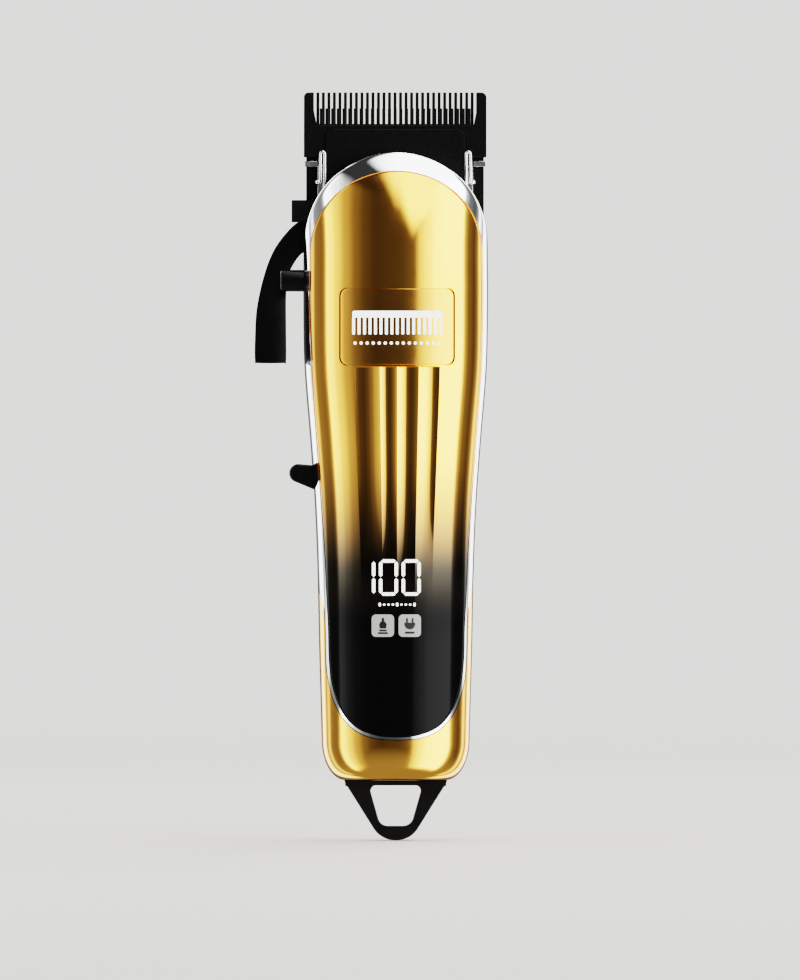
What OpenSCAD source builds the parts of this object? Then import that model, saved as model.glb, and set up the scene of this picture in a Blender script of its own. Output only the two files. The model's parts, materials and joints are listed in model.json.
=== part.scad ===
// Cordless hair clipper: gold and chrome housing, adjustable two-piece blade, side taper lever.
// Frame: Z runs from the hanging loop up to the blade, the face looks along -Y, the skin side is +Y,
// and the origin is the centre of the hanging hole.

/* [Housing] */
// Height of the housing's flat bottom above the hanging hole's centre
body_bottom = 6.5; // [6.3:0.1:6.7]
// Wall thickness of the moulded shells
wall = 2; // [1.8:0.1:2.1]
// Gap left on each side of a seam between two shells
seam = 0.15; // [0.1:0.05:0.2]
// Squareness of the cross-section: 2 is an ellipse, more is squarer
section_power = 2.4; // [2.3:0.1:2.5]
// Radius of the nose's arch, seen from the front
arch_r = 23; // [22.8:0.1:23]
// Height of the centre of the nose's arch
arch_z = 140.5; // [140:0.5:141]
// Height of the step on the back, above which the lever and the blade carrier are open
deck_z = 137; // [136.5:0.5:137]

/* [Face plate] */
// Half width of the face plate where its top arch begins
face_arch_w = 21.4; // [21:0.1:21.5]
// Height where the face plate's top arch begins
face_arch_z = 138.5; // [138:0.5:139]
// Rise of the face plate's top arch
face_arch_h = 20; // [19.5:0.5:20]
// Height of the face plate's lowest edge
face_bottom = 17.5; // [17:0.5:18]
// Width of the chrome bead that frames the face plate
bead_w = 0.7; // [0.6:0.05:0.9]

/* [Badge and display] */
// Width of the recessed badge
badge_w = 28.4; // [27:0.2:29]
// Height of the recessed badge
badge_h = 19.1; // [18:0.1:20]
// Height of the badge's centre
badge_z = 119.7; // [119:0.1:120]
// Height of a display digit
digit_h = 9.1; // [8.5:0.1:9.5]
// Height of the digits' centre
digit_z = 57.2; // [57:0.1:58]
// Width of a display segment
segment_w = 0.95; // [0.8:0.05:1]

/* [Blade] */
// Half width of the fixed blade
blade_hw = 22.8; // [22.6:0.1:22.8]
// Height of the fixed blade's tooth tips
tip_z = 178.5; // [178:0.5:179]
// Number of teeth on the fixed blade
fixed_teeth = 29; // [27:2:29]
// Distance between two teeth of the fixed blade
fixed_pitch = 1.38; // [1.36:0.01:1.38]
// Number of teeth on the moving blade
cutter_teeth = 27; // [25:2:27]
// Distance between two teeth of the moving blade
cutter_pitch = 1.42; // [1.4:0.01:1.42]
// Width of the cut between two teeth
tooth_gap = 0.66; // [0.6:0.02:0.66]

/* [Drive] */
// Distance from the motor's axis to the eccentric journal's axis
throw = 0.7; // [0.6:0.05:0.7]
// Distance from the rocker's pivot down to the eccentric bearing
rocker_low = 11; // [10.8:0.1:11]
// Distance from the rocker's pivot up to its finger
rocker_high = 20; // [19.8:0.1:20]
// Radial clearance of every pivot
running = 0.05; // [0.03:0.01:0.06]

/* [Taper lever] */
// Distance from the lever's pivot to its crank pin
crank_r = 3.4; // [3.3:0.1:3.4]
// Half of the lever's turn
lever_half_turn = 17; // [15:1:17]
// Thickness of the lever's arm
lever_t = 2.8; // [2.6:0.1:2.9]

/* [Hidden] */
$fn = 48;

// Housing stations: height, half width, depth to the front, depth to the back
STATIONS = [
    [6, 18.2, 15, 12.4], [16, 18.45, 15.8, 13.2], [39, 19.1, 17, 15], [61.5, 19.6, 17.8, 16],
    [76.5, 20.25, 18.2, 16.6], [91.5, 21.35, 18.7, 17], [110, 22.8, 19.2, 16.6],
    [126.5, 23.1, 19.4, 13.6], [141.5, 23, 18.8, 9.6], [150, 23, 16.8, 8],
    [158.5, 23, 12, 6.5], [163.5, 23, 6.4, 5.5], [167, 23, 3.6, 5]
];
tuck_h = 9.5;
tuck_x = 5.6;
tuck_y = 5;
tuck_z = body_bottom + tuck_h;
ring_sides = 44;
RING_Z = [
    for (a = [90, 72, 54, 36, 18]) tuck_z - tuck_h * sin(a),
    for (z = [16, 28, 40, 52, 64, 76, 88, 100, 110, 119, 127, 134, 141, 146, 150, 153.5, 156.5,
              159, 161, 163, 165, 167]) z
];

// Face plate sides: height, half width, between the bottom curve and the top arch
face_low_z = 44;
face_low_w = 16.9;
FACE_SIDE = [[51.5, 17.3], [64, 17.85], [76.5, 18.75], [89, 19.65], [101.5, 20.55], [114, 21.2],
             [126.5, 21.65]];
face_depth = -6.5;
split_y = 2.2;
nose_back_y = 0.8;
nose_cut_z = 150.5;

low_seat = 8.2;
top_seat = 9.7;

// Blade layers, from the face to the skin side
pad_front = 2.1;
pad_back = 3.25;
frame_front = 3.4;
frame_back = 4.5;
cutter_front = 4.55;
cutter_back = 5.95;
blade_plane = 6;
skin_y = 8.6;
root_z = 170.2;
cutter_tip_z = 174.5;
cutter_hw = 19.2;
pad_hw = 17.25;
pad_top = 169.2;
neck_hw = 14;
window_hw = 15.6;
ear_z = 159.9;
blade_screw_x = 13;
blade_screw_z = 154.6;

// Drive train heights
motor_y = -1;
motor_r = 12.2;
can_z = 87.5;
can_top = 116;
bearing_r = 2.5;
journal_r = 1.4;
rocker_z = 133;
rocker_y0 = -3.4;
rocker_y1 = 0.6;
bearing_z = rocker_z - rocker_low;
finger_z = rocker_z + rocker_high;
finger_r = 1.6;
swing = atan(throw / rocker_low);
fork_low = 1;
fork_hw = bearing_r + throw + (rocker_low + fork_low) * tan(swing) + running;
guide_hw = 5;
guide_z0 = 149.6;
guide_z1 = 157.5;

// Lever and carrier
lever_x = -19.5;
lever_z = 142.7;
lever_y0 = 6.2;
lever_y1 = lever_y0 + lever_t;
crank_pin_r = 1;
crank_x = lever_x + crank_r * cos(lever_half_turn);
crank_z = lever_z + crank_r * sin(lever_half_turn);
taper_travel = 2 * crank_r * sin(lever_half_turn);
peg_x = 12.5;
peg_z = 142;
peg_r = 1.2;

// Switches
button_z = 131.3;
button_y = -1;
slider_z0 = 79;
slider_z1 = 85.5;
slider_travel = 3;

// ---------- curves and helpers ----------

function slope(s, i, c) =
    let (a = max(i - 1, 0), b = min(i + 1, len(s) - 1)) (s[b][c] - s[a][c]) / (s[b][0] - s[a][0]);
function span_of(s, z, i = 0) = i >= len(s) - 2 || z < s[i + 1][0] ? i : span_of(s, z, i + 1);
// Smooth curve through column c of the stations
function curve(s, z, c) =
    let (i = span_of(s, z), h = s[i + 1][0] - s[i][0], t = (z - s[i][0]) / h)
    (2 * t ^ 3 - 3 * t ^ 2 + 1) * s[i][c] + (t ^ 3 - 2 * t ^ 2 + t) * h * slope(s, i, c)
        + (3 * t ^ 2 - 2 * t ^ 3) * s[i + 1][c] + (t ^ 3 - t ^ 2) * h * slope(s, i + 1, c);
function tuck(z) = z < tuck_z ? 1 - sqrt(max(0, 1 - ((tuck_z - z) / tuck_h) ^ 2)) : 0;
function bulge(v) = sign(v) * abs(v) ^ (2 / section_power);
function ring(z, d) =
    let (w = curve(STATIONS, z, 1) - tuck_x * tuck(z) - d,
         f = curve(STATIONS, z, 2) - tuck_y * tuck(z) - d,
         b = curve(STATIONS, z, 3) - tuck_y * tuck(z) - d)
    [for (i = [0:ring_sides - 1]) let (a = 360 * i / ring_sides)
        [w * bulge(cos(a)), (a < 180 ? b : f) * bulge(sin(a)), z]];

module loft(rings) {
    n = len(rings[0]);
    top = (len(rings) - 1) * n;
    polyhedron(
        points = [for (r = rings) each r],
        faces = [
            [for (i = [0:n - 1]) i],
            for (k = [0:len(rings) - 2]) for (i = [0:n - 1]) let (j = (i + 1) % n, a = k * n)
                each [[a + i, a + n + i, a + n + j], [a + i, a + n + j, a + j]],
            [for (i = [n - 1:-1:0]) top + i]
        ]
    );
}

// A pair of zero sizes keeps the shape as it is and joins it into one mesh
module one_mesh() resize([0, 0, 0]) children();
// Extrudes a shape drawn in X and Z from y0 to y1
module along_y(y0, y1) translate([0, y1, 0]) rotate([90, 0, 0]) linear_extrude(y1 - y0) children();
// Extrudes a shape drawn in Y and Z from x0 to x1
module along_x(x0, x1) translate([x0, 0, 0]) rotate([90, 0, 90]) linear_extrude(x1 - x0) children();
module box(lo, hi) translate(lo) cube(hi - lo);
module pin_x(y, z, x0, x1, r) translate([x0, y, z]) rotate([0, 90, 0]) cylinder(h = x1 - x0, r = r);
module pin_y(x, z, y0, y1, r) translate([x, y0, z]) rotate([-90, 0, 0]) cylinder(h = y1 - y0, r = r);
module pin_z(x, y, z0, z1, r) translate([x, y, z0]) cylinder(h = z1 - z0, r = r);
module tube_z(x, y, z0, z1, r_out, r_in) difference() {
    pin_z(x, y, z0, z1, r_out);
    pin_z(x, y, z0 - 1, z1 + 1, r_in);
}
module both_sides() {
    children();
    mirror([1, 0, 0]) children();
}
module rounded_rect(w, h, r) hull() for (x = [-1, 1]) for (y = [-1, 1])
    translate([x * (w / 2 - r), y * (h / 2 - r)]) circle(r = r, $fn = 24);
module slot_2d(x0, x1, z, r) {
    translate([x0, z - r]) square([x1 - x0, 2 * r]);
    translate([x0, z]) circle(r = r);
    translate([x1, z]) circle(r = r);
}
// Smooth closed outline through a few points
module smooth_outline(points, steps = 4) {
    n = len(points);
    polygon([for (i = [0:n - 1]) let (a = points[(i + n - 1) % n], b = points[i],
                                      c = points[(i + 1) % n], d = points[(i + 2) % n])
        for (k = [0:steps - 1]) let (t = k / steps)
            0.5 * (2 * b + (c - a) * t + (2 * a - 5 * b + 4 * c - d) * t ^ 2
                + (3 * b - a - 3 * c + d) * t ^ 3)]);
}

// ---------- housing ----------

// The housing's outer form, drawn in by d all round
module form(d) intersection() {
    loft([ring(body_bottom + d, d), for (z = RING_Z) if (z > body_bottom + d + 0.4) ring(z, d)]);
    along_y(-40, 40) {
        translate([0, arch_z]) circle(r = arch_r - d, $fn = 96);
        translate([-40, -10]) square([80, arch_z + 10]);
    }
}
module form_low(d) intersection() {
    form(d);
    box([-40, -40, 0], [40, 40, deck_z - d]);
}
module skin(outer, inner) difference() {
    form(outer);
    form(inner);
}

function face_half() = [
    for (a = [0:9:81]) let (p = 2 / 2.85)
        [face_low_w * sin(a) ^ p, face_low_z - (face_low_z - face_bottom) * cos(a) ^ p],
    [face_low_w, face_low_z],
    for (s = FACE_SIDE) [s[1], s[0]],
    for (a = [0:7.5:90]) [face_arch_w * cos(a), face_arch_z + face_arch_h * sin(a)]
];
module face_outline(grow) offset(delta = grow)
    polygon(concat(face_half(), [for (i = [len(face_half()) - 2:-1:1]) [-face_half()[i][0], face_half()[i][1]]]));
module face_prism(grow) along_y(-40, face_depth + grow) face_outline(grow);
// Side view of what the chrome frame covers, in Y and Z
module chrome_side(grow) along_x(-40, 40) offset(delta = grow)
    polygon([[-40, 47], [-9, 49.5], [split_y, 58.5], [split_y, 200], [-40, 200]]);
module chrome_zone(grow) {
    chrome_side(grow);
    face_prism(bead_w + seam + grow);
}
module slider_slot() box([-30, -2.5, slider_z0 - 0.3], [-15, 0.5, slider_z1 + slider_travel + 0.3]);
module inlay_zone(grow) difference() {
    along_x(-40, 0) offset(delta = grow)
        polygon([[-12, 128.5], [1.4, 128.5], [1.4, 116], [-1.5, 111], [-6, 110.5], [-12, 109]]);
    face_prism(0.5 - grow);
}

module boss_places() for (x = [-12.5, 12.5]) translate([x, 0, 27]) children();
module pillar_places() for (x = [-9.5, 9.5]) translate([x, 0, 132.2]) children();
// Clearance hole for a shell screw, with a counterbore that starts at the head's seat
module screw_well(seat) rotate([-90, 0, 0]) {
    cylinder(h = 30, r = 1.4, $fn = 16);
    translate([0, 0, seat]) cylinder(h = 20, r = 2.6, $fn = 20);
}
module rear_shell() color("goldenrod") one_mesh() difference() {
    union() {
        difference() {
            form_low(0);
            form_low(wall);
        }
        intersection() {
            form_low(0.2);
            boss_places() rotate([-90, 0, 0]) translate([0, 0, 5.7]) cylinder(h = 20, r = 3.6, $fn = 20);
        }
    }
    chrome_zone(seam);
    box([-12.9, -2.6, 0], [12.9, 2.6, 12]);
    translate([0, 8, 0]) linear_extrude(12) rounded_rect(9.4, 3.6, 1.7);
    boss_places() screw_well(low_seat);
    pillar_places() screw_well(top_seat);
    slider_slot();
}

module chrome_frame() color("silver") one_mesh() difference() {
    intersection() {
        skin(0, wall);
        chrome_zone(0);
    }
    face_prism(seam);
    box([-40, nose_back_y, nose_cut_z], [40, 40, 200]);
    intersection() {
        skin(-1, 0.8 + seam / 2);
        inlay_zone(seam / 2);
    }
    pin_x(button_y, button_z, -40, -10, 1.7, $fn = 20);
    slider_slot();
}

module badge_prism(grow) along_y(-40, -10) translate([0, badge_z])
    rounded_rect(badge_w + 2 * grow, badge_h + 2 * grow, 1.9 + grow);
module face_plate() color("gold") one_mesh() {
    difference() {
        intersection() {
            skin(0, wall);
            face_prism(0);
        }
        intersection() {
            skin(-1, 0.9);
            badge_prism(0.3);
        }
    }
    intersection() {
        form(0.6);
        boss_places() rotate([90, 0, 0]) translate([0, 0, -5.5]) difference() {
            cylinder(h = 24, r = 2.5, $fn = 20);
            translate([0, 0, -1]) cylinder(h = 12, r = 1.25, $fn = 16);
        }
    }
}

module badge_plate() color("darkgoldenrod") one_mesh() intersection() {
    skin(0.25, 0.9);
    badge_prism(0);
}

// A comb: a spine with teeth below it, over a row of small dots
module badge_mark() color("white") one_mesh() intersection() {
    skin(0.05, 0.25);
    along_y(-40, -10) translate([0, badge_z + 0.6]) {
        translate([-11.2, 1.6]) square([22.4, 1.8]);
        for (i = [-8:8]) translate([i * 1.36 - 0.35, -2.4]) square([0.7, 4.2]);
        for (i = [-7:7]) translate([i * 1.5 - 0.35, -5.3]) square([0.7, 1.1]);
    }
}

// Seven-segment digit: a point list for one bevelled bar, then the bars that are lit
module segment(l) {
    s = segment_w / 2;
    polygon([[s, s], [l - s, s], [l, 0], [l - s, -s], [s, -s], [0, 0]]);
}
module digit_zero(w) {
    h = (digit_h - segment_w) / 2;
    for (z = [-h, h]) translate([segment_w / 2 + 0.08, z]) segment(w - segment_w - 0.16);
    for (x = [segment_w / 2, w - segment_w / 2]) for (z = [-h, 0])
        translate([x, z + 0.08]) rotate(90) segment(h - 0.16);
}
module digit_one() {
    h = (digit_h - segment_w) / 2;
    for (z = [-h, 0]) translate([0, z + 0.08]) rotate(90) segment(h - 0.16);
}
module on_face(y = -10) one_mesh() intersection() {
    skin(-0.12, 0);
    along_y(-40, y) children();
}
module display_digits() color("white") on_face() translate([0, digit_z]) {
    translate([-5.85, 0]) digit_one();
    translate([-4.55, 0]) digit_zero(4.75);
    translate([1.1, 0]) digit_zero(4.8);
}
module display_ticks() color("white") on_face() for (i = [-4:4])
    translate([i * 1.08 - 0.15 - 0.3, 50.1]) square([0.6, i % 4 == 0 ? 0.9 : 0.5]);

icon_z = 45.2;
icon_s = 5.6;
icon_x = 3.35;
module icon_tiles() color("lightgrey") on_face() for (x = [-1, 1])
    translate([x * icon_x - 0.2, icon_z]) rounded_rect(icon_s, icon_s, 1);
module icon_glyphs() color("black") one_mesh() intersection() {
    skin(-0.16, -0.12);
    along_y(-40, -10) {
        translate([-icon_x - 0.2, icon_z]) {
            translate([-1.1, -1.9]) square([2.2, 1.9]);
            translate([-0.4, -0.1]) square([0.8, 1.9]);
        }
        translate([icon_x - 0.2, icon_z]) {
            translate([-1.2, -0.6]) square([2.4, 1.5]);
            for (x = [-0.9, 0.4]) translate([x, 0.8]) square([0.5, 1.1]);
            translate([-0.25, -1.9]) square([0.5, 1.4]);
        }
    }
}

module side_inlay() color("black") one_mesh() intersection() {
    skin(0.05, 0.8);
    inlay_zone(-seam / 2);
}

// Tapered loop with a round tip: top corners of radius top_r, tip corners of radius tip_r
module loop_outline(top_hw, top_z, top_r, tip_x, tip_z, tip_r) hull() for (x = [-1, 1]) {
    translate([x * (top_hw - top_r), top_z - top_r]) circle(r = top_r);
    translate([x * tip_x, tip_z + tip_r]) circle(r = tip_r);
}
module hang_loop() color("black") {
    along_y(-2.5, 2.5) difference() {
        union() {
            loop_outline(12.8, body_bottom + 1.5, 1.5, 0.3, -8.5, 6.1);
            translate([-12.6, body_bottom - 1.5]) square([25.2, 5.2]);
        }
        loop_outline(6.3, 5.2, 1.4, 1.9, -5, 2.6);
    }
    box([-13.3, -3.8, body_bottom + wall + 0.2], [13.3, 3.8, body_bottom + wall + 2]);
}

// ---------- nose chassis, blade and lever ----------

module chassis_outline() {
    intersection() {
        translate([0, arch_z]) circle(r = arch_r - wall - 0.6);
        translate([-21, 136]) square([42, 13.2]);
    }
    translate([-12, 129]) square([24, 7.01]);
}
// Ear beside the blade carrier, which covers the lever's hub
module ear_outline() {
    translate([-25.9, 146]) square([6.3, 5.5]);
    translate([-25.9, 146]) square([8.5, 1.8]);
}
module nose_chassis() color("dimgray") difference() {
    union() {
        along_y(-3, 2) chassis_outline();
        along_y(-7, -2.9) intersection() {
            chassis_outline();
            translate([-14, 120]) square([28, 40]);
        }
        along_y(1.9, 5.9) ear_outline();
        pillar_places() pin_y(0, 0, 1.9, 7.6, 2.6);
        for (x = [-peg_x, peg_x]) pin_y(x, peg_z, 1.9, 5.9, peg_r);
        pin_y(lever_x, lever_z, 1.9, 6, 2.1);
    }
    box([-8, -4, 120], [8, 1.95, 160]);
    box([-8, 1, 130], [-6.2, 3, 135]);
    box([-3.6, 1, 120], [3.6, 3, 160]);
    box([-30, 1, 145], [-20.4, 2.35, 160]);
    pin_y(0, rocker_z, -8, 0, 1.5);
    pin_y(lever_x, lever_z, 2.2, 7, 1.25);
    pillar_places() pin_y(0, 0, 2.6, 9, 1.2);
}

module tooth_gaps(count, pitch, gap, z0) for (i = [0:count])
    translate([(i - count / 2) * pitch - gap / 2, z0]) square([gap, 20]);

module fixed_blade() color("#26262a") difference() {
    intersection() {
        along_x(-40, 40)
            polygon([[blade_plane, 140], [skin_y, 140], [skin_y, 168], [6.75, tip_z], [blade_plane, tip_z]]);
        along_y(0, 20) difference() {
            union() {
                translate([-22.2, 151]) square([44.4, 13]);
                translate([-blade_hw, 162.3]) square([2 * blade_hw, 15]);
                translate([-blade_hw + 1.2, 170]) square([2 * blade_hw - 2.4, tip_z - 170]);
                for (x = [-1, 1]) translate([x * (blade_hw - 1.2), tip_z - 1.2]) circle(r = 1.2);
                translate([-12, 147.5]) square([34.2, 4]);
            }
            tooth_gaps(fixed_teeth, fixed_pitch, tooth_gap, root_z);
        }
    }
    for (x = [-1, 1]) {
        pin_y(x * blade_screw_x, blade_screw_z, 0, 20, 1.5);
        translate([x * blade_screw_x, 7, blade_screw_z]) rotate([-90, 0, 0]) cylinder(h = 1.61, r1 = 1.5, r2 = 3.1);
        pin_y(x * 21.85, 166, 0, 20, 0.65);
    }
}

module blade_frame() color("#232327") difference() {
    union() {
        along_y(frame_front, frame_back) {
            translate([-blade_hw, 162.3]) square([2 * blade_hw, root_z - 162.3]);
            for (x = [-1, 1]) {
                polygon([[x * blade_hw, root_z - 0.1], [x * blade_hw, tip_z - 1.2], [x * 20.7, tip_z - 1.2],
                         [x * 20.5, 174.5], [x * 19.6, root_z - 0.1]]);
                translate([x * 21.75, tip_z - 1.25]) circle(r = 1.05);
            }
            translate([-19.3, 160.3]) square([38.6, 3]);
        }
        both_sides() box([20.9, frame_back - 0.01, 162.3], [blade_hw, blade_plane, tip_z - 1.2]);
    }
    box([-window_hw, 0, 150], [window_hw, 10, 168]);
    for (x = [-21.85, 21.85]) pin_y(x, 166, 4, 7, 0.6);
}

module moving_blade() color("#1c1c20") difference() {
    union() {
        along_y(cutter_front, cutter_back) difference() {
            union() {
                translate([-cutter_hw, 161.6]) square([2 * cutter_hw, cutter_tip_z - 161.6]);
                translate([-8, 150]) square([16, 12]);
            }
            tooth_gaps(cutter_teeth, cutter_pitch, tooth_gap - 0.04, root_z + 0.4);
        }
        along_y(pad_front, pad_back) difference() {
            union() {
                translate([-pad_hw, 150.2]) square([2 * pad_hw, pad_top - 152.2]);
                translate([-pad_hw + 2, 160]) square([2 * pad_hw - 4, pad_top - 160]);
                for (x = [-1, 1]) translate([x * (pad_hw - 2), pad_top - 2]) circle(r = 2);
            }
            translate([-guide_hw - 0.02, 140]) square([2 * guide_hw + 0.04, guide_z1 - 140 + 0.02]);
        }
        box([-neck_hw, pad_back - 0.01, 161.8], [neck_hw, cutter_front + 0.01, 165.5]);
    }
    for (x = [-3.5, 3.5]) pin_y(x, 153.5, 4, 7, 0.8);
}

module cutter_guide() color("white") difference() {
    box([-guide_hw, 2, guide_z0], [guide_hw, cutter_front, guide_z1]);
    box([-finger_r - running, 0, finger_z - finger_r - 0.5], [finger_r + running, 8, finger_z + finger_r + 0.5]);
    for (x = [-3.5, 3.5]) pin_y(x, 153.5, 0, 7, 0.8);
}
module guide_rivets() color("silver") for (x = [-3.5, 3.5]) pin_y(x, 153.5, 2.02, cutter_back, 0.78);

module taper_bracket() color("lightgrey") difference() {
    union() {
        box([-17.2, frame_front, 139.4], [19.4, blade_plane, 148]);
        both_sides() {
            box([9.7, frame_front, 147.9], [19.4, blade_plane, 158.5]);
            box([14, 4.6, 158.4], [19.4, blade_plane, ear_z + 1.35]);
            box([19.3, 4.6, ear_z], [22.6, blade_plane, ear_z + 1.35]);
            box([19.6, frame_front, ear_z], [22.6, blade_plane, ear_z + 1.35]);
        }
    }
    along_y(0, 8) slot_2d(-30, crank_x + crank_r * (1 - cos(lever_half_turn)), crank_z, crank_pin_r + running);
    for (x = [-peg_x, peg_x]) translate([x, 0, peg_z]) rotate([0, -90, 0])
        along_y(0, 8) slot_2d(0, taper_travel + 0.1, 0, peg_r + 0.1);
    box([-25, 0, 147], [-17.3, 6.1, 150.1]);
    for (x = [-1, 1]) pin_y(x * blade_screw_x, blade_screw_z, 0, 8, 1.46);
}
module blade_screws() color("silver") for (x = [-1, 1]) translate([x * blade_screw_x, 0, blade_screw_z]) difference() {
    union() {
        pin_y(0, 0, 3.6, 7.1, 1.45);
        translate([0, 7, 0]) rotate([-90, 0, 0]) cylinder(h = 1.5, r1 = 1.45, r2 = 2.95);
    }
    box([-3.2, 8, -0.35], [3.2, 9, 0.35]);
}
module frame_screws() color("silver") for (x = [-21.85, 21.85]) pin_y(x, 166, 4.8, skin_y - 0.05, 0.6);

wire_r = 0.4;
wire_y = 1.5;
module wire_bend(x, z, r, a0) translate([x, wire_y, z]) rotate([90, 0, 0])
    rotate([0, 0, a0]) rotate_extrude(angle = 180) translate([r, 0]) circle(r = wire_r);
module tension_spring() color("silver") {
    pin_x(wire_y, 150, -17.7, 17.7, wire_r);
    both_sides() {
        translate([17.7, wire_y, 150]) sphere(r = wire_r);
        pin_z(17.7, wire_y, 150, 163, wire_r);
        wire_bend(18.225, 163, 0.525, 0);
        pin_z(18.75, wire_y, 156, 163, wire_r);
        translate([18.75, wire_y, 156]) sphere(r = wire_r);
        pin_x(wire_y, 156, 18.75, 19.4, wire_r);
        translate([19.4, wire_y, 156]) sphere(r = 0.6);
    }
}
module spring_clamps() color("dimgray") both_sides() difference() {
    box([9, -3, 149.2], [14, 2, 151.6]);
    pin_x(wire_y, 150, 0, 20, wire_r);
    pin_z(11.5, -0.8, 149, 152, 0.9);
}
module clamp_screws() color("silver") both_sides() {
    pin_z(11.5, -0.8, 149.25, 151.7, 0.88);
    pin_z(11.5, -0.8, 151.6, 152.5, 1.7);
}

module lever_outline() smooth_outline([
    [-19.6, 146.2], [-22.3, 146.4], [-24.7, 145.75], [-27.9, 142.5], [-30.6, 138.4], [-32.8, 132.5],
    [-34.55, 124.5], [-35, 117], [-35, 111.3], [-34.3, 110.8], [-28, 110.8], [-27.3, 111.3],
    [-27.3, 119], [-27.3, 127.5], [-26.9, 131.5], [-25.85, 134.8], [-23.2, 138.3], [-19.6, 139.2]
]);
module taper_lever() color("black") difference() {
    union() {
        along_y(lever_y0, lever_y1) {
            lever_outline();
            translate([lever_x, lever_z]) circle(r = 3.6);
        }
        along_y(lever_y0 - 1.2, lever_y1 + 0.8) intersection() {
            lever_outline();
            translate([-40, 105]) square([20, 22]);
        }
        pin_y(crank_x, crank_z, frame_front + 0.1, lever_y0 + 0.1, crank_pin_r);
    }
    pin_y(lever_x, lever_z, 5, 12, 1.25 + running);
}
module lever_screw() color("silver") difference() {
    union() {
        pin_y(lever_x, lever_z, 2.4, lever_y1 + 0.5, 1.25);
        pin_y(lever_x, lever_z, lever_y1 + 0.4, lever_y1 + 1.8, 2.8);
    }
    box([lever_x - 3, lever_y1 + 1.2, lever_z - 0.4], [lever_x + 3, lever_y1 + 3, lever_z + 0.4]);
}
module lever_washer() color("silver") difference() {
    pin_y(lever_x, lever_z, lever_y1 + 0.05, lever_y1 + 0.35, 3.2);
    pin_y(lever_x, lever_z, lever_y1 - 1, lever_y1 + 1, 1.3);
}

// ---------- drive ----------

module motor_can() color("silver") difference() {
    pin_z(0, motor_y, can_z, can_top, motor_r);
    pin_z(0, motor_y, can_z - 1, can_top - 1, motor_r - 0.9);
    pin_z(0, motor_y, can_top - 2, can_top + 1, 3);
    for (a = [0, 180]) translate([8 * cos(a), motor_y + 8 * sin(a), can_top - 3]) cylinder(h = 5, r = 1.25);
}
module motor_magnets() color("#3a3a3a") difference() {
    tube_z(0, motor_y, 92, 111, motor_r - 0.92, 9.6);
    box([-1, -20, 90], [1, 20, 112]);
}
module motor_end_cap() color("white") difference() {
    union() {
        pin_z(0, motor_y, can_z - 2.5, can_z, motor_r - 0.1);
        pin_z(0, motor_y, can_z - 3.2, can_z - 2.4, 4);
        for (x = [-8.5, 8.5]) box([x - 1.2, motor_y - 0.3, can_z - 4.4], [x + 1.2, motor_y + 0.3, can_z - 2.4]);
    }
    pin_z(0, motor_y, can_z - 2.6, can_z + 1, 3);
}
module motor_bush() color("#b87333") tube_z(0, motor_y, can_top - 1, can_top + 1.4, 2.98, 1.2);
module motor_mount() color("#303030") difference() {
    union() {
        box([-14.5, -9.5, can_top + 0.05], [14.5, 8, can_top + 1.8]);
        for (x = [-14.5, 12.7]) box([x, -6, 104], [x + 1.8, 4, can_top + 0.1]);
    }
    pin_z(0, motor_y, can_top - 1, can_top + 3, 3.9);
    for (x = [-8, 8]) pin_z(x, motor_y, can_top - 1, can_top + 3, 1.3);
}
module motor_screws() color("silver") for (x = [-8, 8]) {
    pin_z(x, motor_y, can_top - 2.5, can_top + 1.9, 1.22);
    pin_z(x, motor_y, can_top + 1.82, can_top + 2.6, 2);
}
module rotor_shaft() color("silver") pin_z(0, motor_y, can_z - 2, bearing_z - 1.6, 1.15);
module rotor_core() color("grey") difference() {
    pin_z(0, motor_y, 94, 109, 9.2);
    pin_z(0, motor_y, 93, 110, 1.15);
    for (a = [0, 120, 240]) translate([0, motor_y, 93]) rotate([0, 0, a]) translate([6.9, 0, 0]) {
        cylinder(h = 17, r = 1.9);
        translate([0, -0.7, 0]) cube([4, 1.4, 17]);
    }
}
module rotor_windings() color("#b8722d") for (a = [0, 120, 240])
    translate([0, motor_y, 0]) rotate([0, 0, a]) pin_z(6.9, 0, 92.6, 110.4, 1.8);
module commutator() color("#c87a3a") tube_z(0, motor_y, 88, 91.5, 2.8, 1.16);
module eccentric_cam() color("silver") {
    tube_z(0, motor_y, bearing_z - 3.8, bearing_z - 1.6, 3.4, 1.16);
    pin_z(0, motor_y, bearing_z - 1.6, bearing_z - 1.3, 3.4);
    pin_z(0, motor_y + throw, bearing_z - 1.4, bearing_z + 1.9, journal_r);
}
module cam_bearing() color("silver") tube_z(0, motor_y + throw, bearing_z - 1.2, bearing_z + 1.6, bearing_r, journal_r + 0.01);

module rocker_outline() {
    translate([0, rocker_z]) circle(r = 4.2);
    polygon([[-3.4, rocker_z], [3.4, rocker_z], [2.6, finger_z + 2.4], [-2.6, finger_z + 2.4]]);
    polygon([[-4, rocker_z - 1], [4, rocker_z - 1], [fork_hw + 2.6, 129], [fork_hw + 2.6, bearing_z - fork_low],
             [fork_hw, bearing_z - fork_low], [fork_hw, 126.2], [-fork_hw, 126.2], [-fork_hw, bearing_z - fork_low],
             [-fork_hw - 2.6, bearing_z - fork_low], [-fork_hw - 2.6, 129]]);
}
module drive_rocker() color("#e8e8e0") difference() {
    union() {
        along_y(rocker_y0, rocker_y1) rocker_outline();
        pin_y(0, finger_z, rocker_y1 - 0.1, 4, finger_r);
    }
    pin_y(0, rocker_z, -10, 10, 1.5 + running);
}
module rocker_pin() color("silver") {
    pin_y(0, rocker_z, -6.9, rocker_y1 + 0.9, 1.5);
    pin_y(0, rocker_z, rocker_y1 + 0.2, rocker_y1 + 0.8, 2.8);
}

// ---------- battery, boards and switches ----------

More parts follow.
